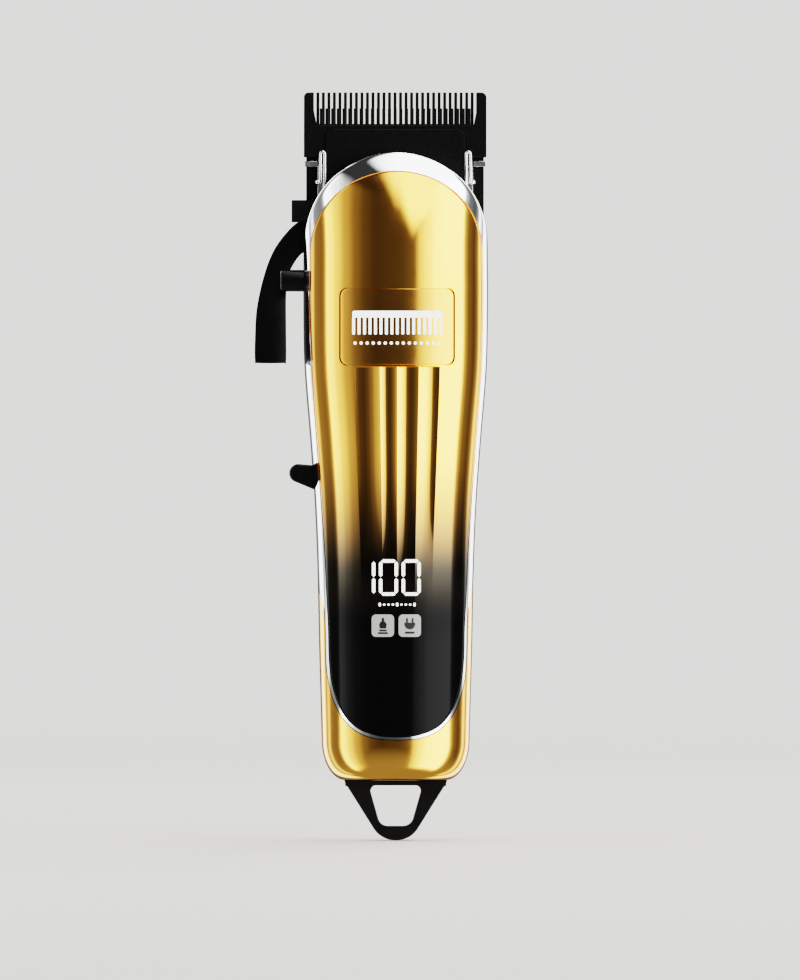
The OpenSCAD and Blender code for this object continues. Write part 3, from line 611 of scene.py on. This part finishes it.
def rear_start(z, offset_path):
    """Where the rear shell begins on its right side, as a point of the section at height z."""
    y = SPLIT_Y + SEAM
    if z < SEAM_Z:
        x = float(np.interp(z, offset_path[:, 1], offset_path[:, 0]))
        y = max(float(front_y(np.array(x), z)), float(split_limit(z)) + SEAM)
    return float(side_x(np.array(y), z)), y


def section_row(z, start, front_n, back_n):
    """Points of the housing's section from the right start round the back to the left start."""
    x0, y0 = start
    w, f, b = float(half_width(z)), float(front_depth(z)), float(back_depth(z))
    bulge = 2 / SECTION_POWER
    if y0 < 0:
        a0 = max(math.asin(min(1, (abs(y0) / f) ** (1 / bulge))), 0.02)
        front = [(w * math.cos(a) ** bulge, -f * math.sin(a) ** bulge)
                 for a in np.linspace(a0, 0, front_n + 1)[:-1]]
        a1 = 0
    else:
        a1 = math.asin(min(1, (y0 / b) ** (1 / bulge)))
        front = [(x0, y0)] * front_n
    back = []
    for a in np.linspace(a1, math.pi - a1, back_n):
        c, s = math.cos(a), math.sin(a)
        back.append((w * math.copysign(abs(c) ** bulge, c), b * abs(s) ** bulge))
    left = [(-x, y) for x, y in front[::-1]]
    return np.array([(x, y, z) for x, y in front + back + left])


def make_rear_shell(front_n=34, back_n=91, wall=1.6, lip=1.2):
    path = resample(FACE_HALF, 0.9)
    n = outward(path)
    offset = path + (BEAD_W + 2 * SEAM) * n
    offset[0, 0] = 0
    foot = offset[0, 1]
    rising = np.concatenate([[True], np.diff(offset[:, 1]) > 0])
    offset = offset[(offset[:, 1] < SEAM_Z + 3.5) & rising]
    side_z = np.concatenate([offset[offset[:, 1] < SEAM_Z - 0.5, 1], np.arange(SEAM_Z, DECK_Z - lip, 1.0)])
    chin = TUCK_Z - TUCK_H * np.sin(np.radians(np.linspace(90, 0, 28)))
    # strips says for each row whether it is open in front, where the face plate and the frame lie.
    rows, strips = [], []
    for z in chin[chin < foot - 0.02]:
        rows.append(section_row(z, (0.0, -float(front_depth(z))), front_n, back_n))
        strips.append(False)
    for k, z in enumerate(side_z):
        start = (0.0, float(front_y(np.array(0.0), z))) if k == 0 else rear_start(z, offset)
        rows.append(section_row(z, start, front_n, back_n))
        strips.append(k > 0)
    for a in np.radians(np.linspace(0, 90, 7))[1:]:
        z = DECK_Z - lip + lip * math.sin(a)
        ring = section_row(z, rear_start(z, offset), front_n, back_n)
        radius = np.hypot(ring[:, 0], ring[:, 1])[:, None]
        ring[:, :2] *= 1 - lip * (1 - math.cos(a)) / np.maximum(radius, 1)
        ring[:, 1] = np.maximum(ring[:, 1], SPLIT_Y + SEAM)
        rows.append(ring)
        strips.append(True)
    for s in (0.85, 0.6, 0.3, 0.02):
        ring = rows[-1].copy()
        ring[:, 1] = SPLIT_Y + SEAM + (ring[:, 1] - SPLIT_Y - SEAM) * s
        rows.append(ring)
        strips.append(True)
    outer = np.array(rows)
    base = section_row(BODY_LOW_Z + 0.001, (0.0, -float(front_depth(BODY_LOW_Z))), front_n, back_n)
    for s in (0.97, 0.9, 0.75, 0.5, 0.25, 0.0):
        ring = outer[0].copy()
        ring[:, :2] = base[:, :2] * s
        outer = np.concatenate([ring[None], outer])
        strips = [False] + strips
    inner = outer.copy()
    radius = np.hypot(inner[:, :, 0], inner[:, :, 1])[..., None]
    inner[:, :, :2] *= np.maximum(1 - wall / np.maximum(radius, 1), 0.2)
    inner[:, :, 2] = np.clip(inner[:, :, 2], BODY_LOW_Z + wall, DECK_Z - wall)
    count, across = outer.shape[:2]
    faces = sheet_faces(count, across) + sheet_faces(count, across, start=count * across, flip=True)
    shift = count * across
    for i in range(count - 1):
        if strips[i + 1]:
            a, b = i * across, (i + 1) * across
            faces.append([a, b, b + shift, a + shift])
            a, b = a + across - 1, b + across - 1
            faces.append([b, a, a + shift, b + shift])
    for j in range(across - 1):
        a = (count - 1) * across + j
        faces.append([a, a + 1, a + 1 + shift, a + shift])
    points = np.concatenate([outer.reshape(-1, 3), inner.reshape(-1, 3)])
    return make("rear_shell_fine", points, faces, weld=1e-6, sharp=40)


# ---------------------------------------------------------------- materials

def material(name):
    mat = bpy.data.materials.new(name)
    mat.use_nodes = True
    nodes = mat.node_tree.nodes
    return mat, nodes, mat.node_tree.links, nodes["Principled BSDF"]


def texture(nodes, links, scale, stretch=(1, 1, 1), detail=4):
    """A noise pattern in the object's own coordinates, in metres."""
    where = nodes.new("ShaderNodeTexCoord")
    mapping = nodes.new("ShaderNodeMapping")
    mapping.inputs["Scale"].default_value = stretch
    noise = nodes.new("ShaderNodeTexNoise")
    noise.inputs["Scale"].default_value = scale
    noise.inputs["Detail"].default_value = detail
    links.new(where.outputs["Object"], mapping.inputs["Vector"])
    links.new(mapping.outputs["Vector"], noise.inputs["Vector"])
    return noise.outputs[0]


def spread(nodes, links, value, low_value, high_value):
    """Maps a noise to a range."""
    ramp = nodes.new("ShaderNodeMapRange")
    ramp.inputs["From Min"].default_value = 0.3
    ramp.inputs["From Max"].default_value = 0.7
    ramp.inputs["To Min"].default_value = low_value
    ramp.inputs["To Max"].default_value = high_value
    links.new(value, ramp.inputs["Value"])
    return ramp.outputs["Result"]


def bump(nodes, links, bsdf, height, strength, distance):
    node = nodes.new("ShaderNodeBump")
    node.inputs["Strength"].default_value = strength
    node.inputs["Distance"].default_value = distance * MM
    links.new(height, node.inputs["Height"])
    links.new(node.outputs["Normal"], bsdf.inputs["Normal"])


def mix_colours(nodes, links, factor, a, b):
    node = nodes.new("ShaderNodeMix")
    node.data_type = "RGBA"
    node.inputs["A"].default_value = (*a, 1)
    node.inputs["B"].default_value = (*b, 1)
    links.new(factor, node.inputs["Factor"])
    return node.outputs["Result"]


GOLD = (1.0, 0.50, 0.105)
GOLD_DEEP = (0.97, 0.465, 0.09)


def gold(name, roughness=0.10, tint=GOLD, deep=GOLD_DEEP):
    mat, nodes, links, bsdf = material(name)
    bsdf.inputs["Metallic"].default_value = 1
    cloud = spread(nodes, links, texture(nodes, links, 45), 0, 1)
    links.new(mix_colours(nodes, links, cloud, tint, deep), bsdf.inputs["Base Color"])
    haze = texture(nodes, links, 260, detail=6)
    links.new(spread(nodes, links, haze, roughness * 0.85, roughness * 1.25), bsdf.inputs["Roughness"])
    bump(nodes, links, bsdf, texture(nodes, links, 900, detail=2), 0.02, 0.02)
    return mat


def height_ramp(nodes, links, split, low_z, high_z):
    """Rises from 0 to 1 between two heights, in metres."""
    node = nodes.new("ShaderNodeMapRange")
    node.interpolation_type = "SMOOTHSTEP"
    node.inputs["From Min"].default_value = low_z
    node.inputs["From Max"].default_value = high_z
    links.new(split.outputs["Z"], node.inputs["Value"])
    return node.outputs["Result"]


BLACK = (0.004, 0.004, 0.0045)
SMOKE = (0.075, 0.066, 0.05)


def face_gold():
    """Gold plating that fades to gloss black towards the tail."""
    mat = gold("gold_to_black", 0.085)
    nodes, links = mat.node_tree.nodes, mat.node_tree.links
    bsdf = nodes["Principled BSDF"]
    bsdf.inputs["Specular IOR Level"].default_value = 0.10
    where = nodes.new("ShaderNodeTexCoord")
    split = nodes.new("ShaderNodeSeparateXYZ")
    links.new(where.outputs["Object"], split.inputs["Vector"])
    plated = bsdf.inputs["Base Color"].links[0].from_socket
    smoke = mix_colours(nodes, links, height_ramp(nodes, links, split, 0.044, 0.072), BLACK, SMOKE)
    worn = nodes.new("ShaderNodeMix")
    worn.data_type = "RGBA"
    links.new(height_ramp(nodes, links, split, 0.058, 0.092), worn.inputs["Factor"])
    links.new(smoke, worn.inputs["A"])
    links.new(plated, worn.inputs["B"])
    links.new(worn.outputs["Result"], bsdf.inputs["Base Color"])
    links.new(height_ramp(nodes, links, split, 0.040, 0.062), bsdf.inputs["Metallic"])
    return mat


def metal(name, colour, roughness, grain=(1, 1, 1), scale=300, strength=0.03, shade=0.82):
    mat, nodes, links, bsdf = material(name)
    bsdf.inputs["Metallic"].default_value = 1
    pattern = texture(nodes, links, scale, grain, detail=5)
    darker = tuple(c * shade for c in colour)
    links.new(mix_colours(nodes, links, spread(nodes, links, pattern, 0, 1), colour, darker),
              bsdf.inputs["Base Color"])
    links.new(spread(nodes, links, pattern, roughness * 0.8, roughness * 1.3), bsdf.inputs["Roughness"])
    bump(nodes, links, bsdf, pattern, strength, 0.03)
    return mat


def plastic(name, colour, roughness, scale=2500, strength=0.15, shade=0.75, depth=0.03, shine=0.5):
    mat, nodes, links, bsdf = material(name)
    cloud = spread(nodes, links, texture(nodes, links, 60), 0, 1)
    darker = tuple(c * shade for c in colour)
    links.new(mix_colours(nodes, links, cloud, colour, darker), bsdf.inputs["Base Color"])
    links.new(spread(nodes, links, texture(nodes, links, 350), roughness * 0.85, roughness * 1.2),
              bsdf.inputs["Roughness"])
    bsdf.inputs["Specular IOR Level"].default_value = shine
    bump(nodes, links, bsdf, texture(nodes, links, scale, detail=3), strength, depth)
    return mat


# Gives print and tiles a glow of their own by emission: painted light, as they are no lamps.
def with_painted_glow(name, colour, painted_glow):
    mat = plastic(name, colour, 0.35, shade=0.94)
    bsdf = mat.node_tree.nodes["Principled BSDF"]
    bsdf.inputs["Emission Color"].default_value = (*colour, 1)
    bsdf.inputs["Emission Strength"].default_value = painted_glow
    return mat


MATERIALS = {
    "gold_shell": gold("gold_plating", 0.12),
    "gold_face": face_gold(),
    "chrome_trim": metal("chrome_plating", (0.86, 0.87, 0.88), 0.05, scale=180, strength=0.01, shade=0.96),
    "badge_gold": gold("badge_satin_gold", 0.13, (0.85, 0.42, 0.095), (0.80, 0.385, 0.08)),
    # The white print and the grey icon tiles carry a painted glow.
    "white_print": with_painted_glow("white_print", (0.92, 0.92, 0.90), 1.1),
    "tile_grey": with_painted_glow("tile_grey", (0.40, 0.40, 0.39), 0.25),
    "black_print": plastic("black_print", (0.012, 0.012, 0.012), 0.4),
    "black_matte": plastic("black_matte", (0.010, 0.010, 0.011), 0.36, scale=3200, strength=0.25,
                           shine=0.14),
    "black_gloss": plastic("black_gloss", (0.007, 0.007, 0.008), 0.2, strength=0.05, shine=0.2),
    "white_plastic": plastic("acetal", (0.78, 0.77, 0.72), 0.4),
    "dark_steel": metal("black_coated_steel", (0.034, 0.033, 0.032), 0.3, (1, 1, 12), 900, 0.08, 0.7),
    "bright_steel": metal("ground_steel", (0.74, 0.74, 0.75), 0.2, (1, 12, 1), 900, 0.06),
    "copper": metal("copper", (0.80, 0.42, 0.24), 0.28),
    "magnet": metal("ferrite", (0.06, 0.06, 0.06), 0.6),
    "board": plastic("circuit_board", (0.01, 0.13, 0.05), 0.35),
    "sleeve": plastic("cell_sleeve", (0.02, 0.10, 0.34), 0.3),
}


def paint(obj, slot_name):
    obj.data.materials.clear()
    obj.data.materials.append(MATERIALS[slot_name])


# ---------------------------------------------------------------- build

# The side inlay's outline, in Y and Z, and the screw wells of the rear shell: X, Z and radius
INLAY = [(-14, 128.5), (1.4, 128.5), (1.4, 116), (-1.5, 111), (-6, 110.5), (-14, 109)]
WELLS = ((12.5, 27, 2.6), (9.5, 132.2, 2.6))
SLIDER_LOW_Z, SLIDER_HIGH_Z = low("speed_slider")[2], high("speed_slider")[2]
BUTTON_LOW, BUTTON_HIGH = low("power_button"), high("power_button")
BUTTON_BORE_R = 2.78
BUTTON_YZ = ((BUTTON_LOW[1] + BUTTON_HIGH[1]) / 2, (BUTTON_LOW[2] + BUTTON_HIGH[2]) / 2)


def inlay_prism(grow, lip):
    """The side inlay's zone: its outline seen from the side, kept a lip away from the face plate."""
    centre = np.mean(INLAY, axis=0)
    outline = [tuple(np.array(p) + grow * np.sign(np.array(p) - centre)) for p in INLAY]
    tool = prism(outline, "x", -40, -10)
    half = FACE_HALF + lip * outward(FACE_HALF)
    ring = np.vstack([half[::6], (half[::6] * [-1, 1])[::-1][1:-1]])
    cut(tool, [prism([tuple(p) for p in ring], "y", -40, 10)])
    return tool


def turned(name, profile, centre, sides=64):
    """A body turned about the X axis: profile holds X and radius, from the flat end inwards and back."""
    a = np.linspace(0, 2 * math.pi, sides + 1)[:-1]
    rings = [[(x, centre[0] + r * math.cos(t), centre[1] + r * math.sin(t)) for t in a] for x, r in profile]
    faces = sheet_faces(len(profile), sides, close_columns=True)
    return make(name, np.array(rings).reshape(-1, 3), faces, sharp=30)


def make_button():
    """The push button: a cup over its collar, on a stem with a flange at its inner end."""
    x0, x1 = BUTTON_LOW[0], BUTTON_HIGH[0]
    r = (BUTTON_HIGH[2] - BUTTON_LOW[2]) / 2
    rounding, rim, floor, lip, stem = 0.6, -22.9, 3.0, 0.45, 1.5
    arc = [(x0 + rounding * (1 - math.cos(t)), r - rounding * (1 - math.sin(t)))
           for t in np.radians(np.linspace(0, 90, 10))]
    profile = [(x0 + 0.1, 0), (x0 + 0.1, 0.55 * r), (x0, 0.66 * r)] + arc
    flange, flange_r = 0.6, 1.4 * stem
    profile += [(rim - 0.1, r), (rim, r - 0.1), (rim, r - lip), (x0 + floor, r - lip), (x0 + floor, stem),
                (x1 - flange, stem), (x1 - flange, flange_r), (x1, flange_r), (x1, 0)]
    own(turned("power_button_fine", profile, BUTTON_YZ), "power_button")


def make_button_spring(turns=2.2, coil=1.7, wire=0.13, start=-18.4, end=-17.75):
    """The return spring, drawn at the length it has with the button pressed."""
    a = np.linspace(0, 2 * math.pi * turns, int(turns * 40))
    round_wire = np.linspace(0, 2 * math.pi, 9)[:-1]
    x = start + (end - start) * a / a[-1]
    radius = coil + wire * np.cos(round_wire)[None, :]
    points = np.stack([x[:, None] + wire * np.sin(round_wire)[None, :],
                       BUTTON_YZ[0] + radius * np.cos(a)[:, None],
                       BUTTON_YZ[1] + radius * np.sin(a)[:, None]], axis=-1)
    rows, across = points.shape[:2]
    ends = [list(range(across)), [(rows - 1) * across + k for k in range(across)][::-1]]
    faces = sheet_faces(rows, across, close_columns=True) + ends
    own(make("button_spring_fine", points.reshape(-1, 3), faces, sharp=60), "button_spring")


# The lever's outline in X and Z, from its boss down the outer edge and back up the inner edge, then its screw's
# place in X and Z, its front and back, and how much thicker its finger end is in front and behind
LEVER = np.array([
    [-19.6, 146.2], [-22.3, 146.4], [-24.7, 145.75], [-27.9, 142.5], [-30.6, 138.4], [-32.8, 132.5],
    [-34.55, 124.5], [-35, 117], [-35, 111.3], [-34.3, 110.8], [-28, 110.8], [-27.3, 111.3],
    [-27.3, 119], [-27.3, 127.5], [-26.9, 131.5], [-25.85, 134.8], [-23.2, 138.3], [-19.6, 139.2],
])
LEVER_AXIS = (-19.5, 142.7)
LEVER_Y = (6.2, 9.0)
LEVER_SWELL = (-1.2, 0.8)
LEVER_ROUND = 0.75
LEVER_BOSS_R = 3.6
CRANK_R, CRANK_ANGLE = 3.4, math.radians(17)


def smooth_outline(points, steps=6):
    """Closed smooth curve through the points."""
    a, b, c, d = (np.roll(points, k, axis=0)[:, None] for k in (1, 0, -1, -2))
    t = (np.arange(steps) / steps)[None, :, None]
    return (0.5 * (2 * b + (c - a) * t + (2 * a - 5 * b + 4 * c - d) * t**2
                   + (3 * b - a - 3 * c + d) * t**3)).reshape(-1, 2)


def make_lever():
    """The taper lever: one flat arm that grows thicker towards its finger end."""
    arm = prism([tuple(p) for p in smooth_outline(LEVER)], "y", *LEVER_Y)
    arm.name = "taper_lever_fine"
    bm = bmesh.new()
    bm.from_mesh(arm.data)
    for z in np.arange(118.37, 136, 1.0):
        bmesh.ops.bisect_plane(bm, geom=bm.verts[:] + bm.edges[:] + bm.faces[:], plane_co=(0, 0, z * MM),
                               plane_no=(0, 0, 1))
    for v in bm.verts:
        grow = 1 - float(smoothstep(119, 135, v.co.z / MM))
        v.co.y += LEVER_SWELL[v.co.y / MM > sum(LEVER_Y) / 2] * grow * MM
    bm.to_mesh(arm.data)
    bm.free()
    broken_edges(arm, LEVER_ROUND, 3)
    crank_x = LEVER_AXIS[0] + CRANK_R * math.cos(CRANK_ANGLE)
    crank_z = LEVER_AXIS[1] + CRANK_R * math.sin(CRANK_ANGLE)
    boss = prism(circle(*LEVER_AXIS, LEVER_BOSS_R), "y", *LEVER_Y)
    pin = prism(circle(crank_x, crank_z, 1), "y", low("taper_lever")[1], LEVER_Y[0] + 0.1)
    cut(arm, [boss, pin], operation="UNION")
    cut(arm, [prism(circle(*LEVER_AXIS, 1.35), "y", 5, 12)])
    own(arm, "taper_lever")


def make_housing():
    chrome = make_chrome_frame()
    inlay = chrome.copy()
    inlay.data = chrome.data.copy()
    bpy.context.scene.collection.objects.link(inlay)
    slot_low, slot_high = SLIDER_LOW_Z + 3.7, SLIDER_HIGH_Z - 0.7
    slot = prism(rounded(-1.0, (slot_low + slot_high) / 2, 3.0, slot_high - slot_low, 1.2), "x", -30, -15)
    cut(chrome, [inlay_prism(0.09, 0.36), slot, prism(circle(*BUTTON_YZ, BUTTON_BORE_R), "x", -40, -10)],
        sharp=40)
    own(chrome, "chrome_frame")
    cut(inlay, [inlay_prism(-0.05, 0.5)], sharp=40, operation="INTERSECT")
    inlay.name = "side_inlay_fine"
    for v in inlay.data.vertices:
        v.co.x += 0.06 * MM
    own(inlay, "side_inlay")
    shell = make_rear_shell()
    wells = [prism(circle(s * x, z, r), "y", 4, 40) for x, z, r in WELLS for s in (-1, 1)]
    port = prism(rounded(0, 8, 9.4, 3.6, 1.7), "z", -5, 12)
    cut(shell, wells + [port], sharp=40)
    own(shell, "rear_shell")


make_face_plate()
make_badge()
make_display()
make_housing()
make_button()
make_button_spring()
make_lever()

# Other nodes that show: how far their edges are broken
FINE = {
    "fixed_blade": 0.06, "blade_frame": 0.3, "moving_blade": 0.06, "taper_bracket": 0.15, "hang_loop": 0.7,
    "nose_chassis": 0.5, "speed_slider": 0.4, "button_collar": 0.2,
    "lever_screw": 0.2, "shell_screws": 0.15, "blade_screws": 0.1, "charge_socket": 0.08,
}
for node_name, width in FINE.items():
    refined(node_name, width)

for obj in list(bpy.data.objects):
    if obj.type != "MESH":
        continue
    slot_name = obj.get("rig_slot") or SLOT_OF.get(obj.name)
    if slot_name:
        paint(obj, slot_name)

# ---------------------------------------------------------------- floor, lights and camera

LOW_Z = cad_box[0][2]
FLOOR = (0.85, 0.845, 0.83)


def add_floor():
    """A pale floor that fades into the pale surroundings far from the object."""
    size, near, far = 4.0, 0.7, 3.2
    points = [(-size, -size, 0), (size, -size, 0), (size, size, 0), (-size, size, 0)]
    obj = make("studio_floor", np.array(points) / MM + [0, 0, LOW_Z / MM - 0.05], [[0, 1, 2, 3]])
    mat = plastic("studio_floor", FLOOR, 0.6, scale=120, strength=0.05, shade=0.98, depth=0.2)
    nodes, links = mat.node_tree.nodes, mat.node_tree.links
    where = nodes.new("ShaderNodeTexCoord")
    reach = nodes.new("ShaderNodeVectorMath")
    reach.operation = "LENGTH"
    fade = nodes.new("ShaderNodeMapRange")
    fade.interpolation_type = "SMOOTHSTEP"
    fade.inputs["From Min"].default_value = near
    fade.inputs["From Max"].default_value = far
    clear = nodes.new("ShaderNodeBsdfTransparent")
    mix = nodes.new("ShaderNodeMixShader")
    links.new(where.outputs["Object"], reach.inputs[0])
    links.new(reach.outputs["Value"], fade.inputs["Value"])
    links.new(fade.outputs["Result"], mix.inputs["Fac"])
    links.new(nodes["Principled BSDF"].outputs["BSDF"], mix.inputs[1])
    links.new(clear.outputs["BSDF"], mix.inputs[2])
    links.new(mix.outputs["Shader"], nodes["Material Output"].inputs["Surface"])
    obj.data.materials.append(mat)
    obj.visible_glossy = False


def add_light(name, place_at, aim, width, height, power):
    lamp = bpy.data.lights.new(name, "AREA")
    lamp.shape = "RECTANGLE"
    lamp.size, lamp.size_y = width, height
    lamp.energy = power
    obj = bpy.data.objects.new(name, lamp)
    bpy.context.scene.collection.objects.link(obj)
    obj.location = place_at
    obj.rotation_euler = (Vector(aim) - Vector(place_at)).to_track_quat("-Z", "Y").to_euler()
    obj.visible_glossy = False


# Brightness of the studio round the object as polished parts see it: direction in degrees (0 in front, 90
# to the right), share of full brightness
STRIPS = [
    (-180, 0.02), (-162, 0.04), (-152, 0.6), (-142, 0.6), (-132, 0.08), (-122, 0.35), (-112, 0.06), (-92, 0.045),
    (-86, 0.09), (-79, 0.75), (-70, 0.62), (-61, 0.36), (-45, 0.13), (-32, 0.045), (-21, 0.021), (-11, 0.013),
    (0, 0.016), (11, 0.034), (15, 0.35), (23, 0.6), (32, 0.9), (45, 1.0), (72, 1.0), (80, 0.12), (88, 0.04),
    (103, 0.022), (112, 0.06), (122, 0.5), (132, 0.08), (142, 0.6), (152, 0.6), (162, 0.04),
]
STUDIO_STRENGTH = 5.0
OVERHEAD, OFF_THE_FLOOR, DARKEST = 0.8, 0.07, 0.01
# The surroundings as the camera sees them, and the share of that which lights the scene
PALE = (0.98, 0.975, 0.955)
AMBIENT = 1.05


def world_math(nodes, links, operation, *values):
    node = nodes.new("ShaderNodeMath")
    node.operation = operation
    for value, socket in zip(values, node.inputs):
        if isinstance(value, (int, float)):
            socket.default_value = value
        else:
            links.new(value, socket)
    return node.outputs["Value"]


def window(nodes, links, value, start, end, ascending=True):
    node = nodes.new("ShaderNodeMapRange")
    node.interpolation_type = "SMOOTHSTEP"
    node.inputs["From Min"].default_value = start
    node.inputs["From Max"].default_value = end
    node.inputs["To Min"].default_value = 0 if ascending else 1
    node.inputs["To Max"].default_value = 1 if ascending else 0
    links.new(value, node.inputs["Value"])
    return node.outputs["Result"]


def add_world():
    """Pale all round, but polished parts reflect tall soft boxes, with dark gaps between them, and a
    slanting one overhead."""
    world = bpy.data.worlds.new("studio")
    bpy.context.scene.world = world
    world.use_nodes = True
    nodes, links = world.node_tree.nodes, world.node_tree.links
    where = nodes.new("ShaderNodeTexCoord")
    split = nodes.new("ShaderNodeSeparateXYZ")
    links.new(where.outputs["Generated"], split.inputs["Vector"])
    x, y, z = (split.outputs[k] for k in "XYZ")
    turn = world_math(nodes, links, "ARCTAN2", x, world_math(nodes, links, "MULTIPLY", y, -1.0))
    share = world_math(nodes, links, "MULTIPLY_ADD", turn, 1 / (2 * math.pi), 0.5)
    ramp = nodes.new("ShaderNodeValToRGB")
    ramp.color_ramp.interpolation = "EASE"
    stops = ramp.color_ramp.elements
    for k, (angle, level) in enumerate(STRIPS):
        at = (angle + 180) / 360
        stop = stops[k] if k < 2 else stops.new(at)
        stop.position = at
        stop.color = (level, level, level, 1)
    links.new(share, ramp.inputs["Fac"])
    # The side boxes end high up; the overhead one starts at a slanting edge and ends towards the right.
    sides = world_math(nodes, links, "MULTIPLY", ramp.outputs["Color"],
                       window(nodes, links, world_math(nodes, links, "ABSOLUTE", z), 0.78, 0.92, False))
    lean = world_math(nodes, links, "DIVIDE", x, world_math(nodes, links, "MAXIMUM", z, 0.05))
    edge = world_math(nodes, links, "ADD", x, world_math(nodes, links, "MULTIPLY", z, 0.22))
    top = world_math(nodes, links, "MULTIPLY", window(nodes, links, edge, 0.15, 0.25),
                     window(nodes, links, lean, 0.5, 0.9, False))
    top = world_math(nodes, links, "MULTIPLY", top, window(nodes, links, z, 0.1, 0.6))
    top = world_math(nodes, links, "MULTIPLY", top, OVERHEAD)
    bounce = world_math(nodes, links, "MULTIPLY", window(nodes, links, z, -0.8, -0.02, False), OFF_THE_FLOOR)
    level = world_math(nodes, links, "MAXIMUM", world_math(nodes, links, "MAXIMUM", sides, top), DARKEST)
    level = world_math(nodes, links, "MAXIMUM", level, bounce)
    level = world_math(nodes, links, "MULTIPLY", level, STUDIO_STRENGTH)
    seen = nodes.new("ShaderNodeLightPath")
    studio = nodes.new("ShaderNodeBackground")
    links.new(level, studio.inputs["Color"])
    pale = nodes["Background"]
    pale.inputs["Color"].default_value = (*PALE, 1)
    links.new(world_math(nodes, links, "MULTIPLY_ADD", seen.outputs["Is Camera Ray"], 1 - AMBIENT, AMBIENT),
              pale.inputs["Strength"])
    mix = nodes.new("ShaderNodeMixShader")
    links.new(seen.outputs["Is Glossy Ray"], mix.inputs["Fac"])
    links.new(pale.outputs["Background"], mix.inputs[1])
    links.new(studio.outputs["Background"], mix.inputs[2])
    links.new(mix.outputs["Shader"], nodes["World Output"].inputs["Surface"])


def add_camera():
    """Level with the object and straight in front, turned a little to the lever's side."""
    camera = bpy.data.cameras.new("camera")
    obj = bpy.data.objects.new("camera", camera)
    bpy.context.scene.collection.objects.link(obj)
    distance, view_height, turn = 5.0, 0.245, math.radians(1.3)
    centre = Vector((0.0011, 0, 0.079))
    obj.location = centre + distance * Vector((-math.sin(turn), -math.cos(turn), 0))
    obj.rotation_euler = (centre - obj.location).to_track_quat("-Z", "Y").to_euler()
    camera.sensor_fit = "VERTICAL"
    camera.sensor_height = 36
    camera.lens = 36 * distance / view_height
    camera.clip_end = 30
    bpy.context.scene.camera = obj


add_floor()
add_world()
AIM = (0, 0, 0.09)
add_light("key_left", (-0.8, -0.9, 0.6), AIM, 0.5, 0.9, 1.0)
add_light("key_right", (0.9, -0.6, 0.5), AIM, 0.5, 0.9, 1.2)
add_light("back", (0.3, 0.9, 0.8), AIM, 0.7, 0.7, 1.0)
bpy.context.scene.view_settings.view_transform = "Filmic"
bpy.context.scene.view_settings.look = "High Contrast"
add_camera()
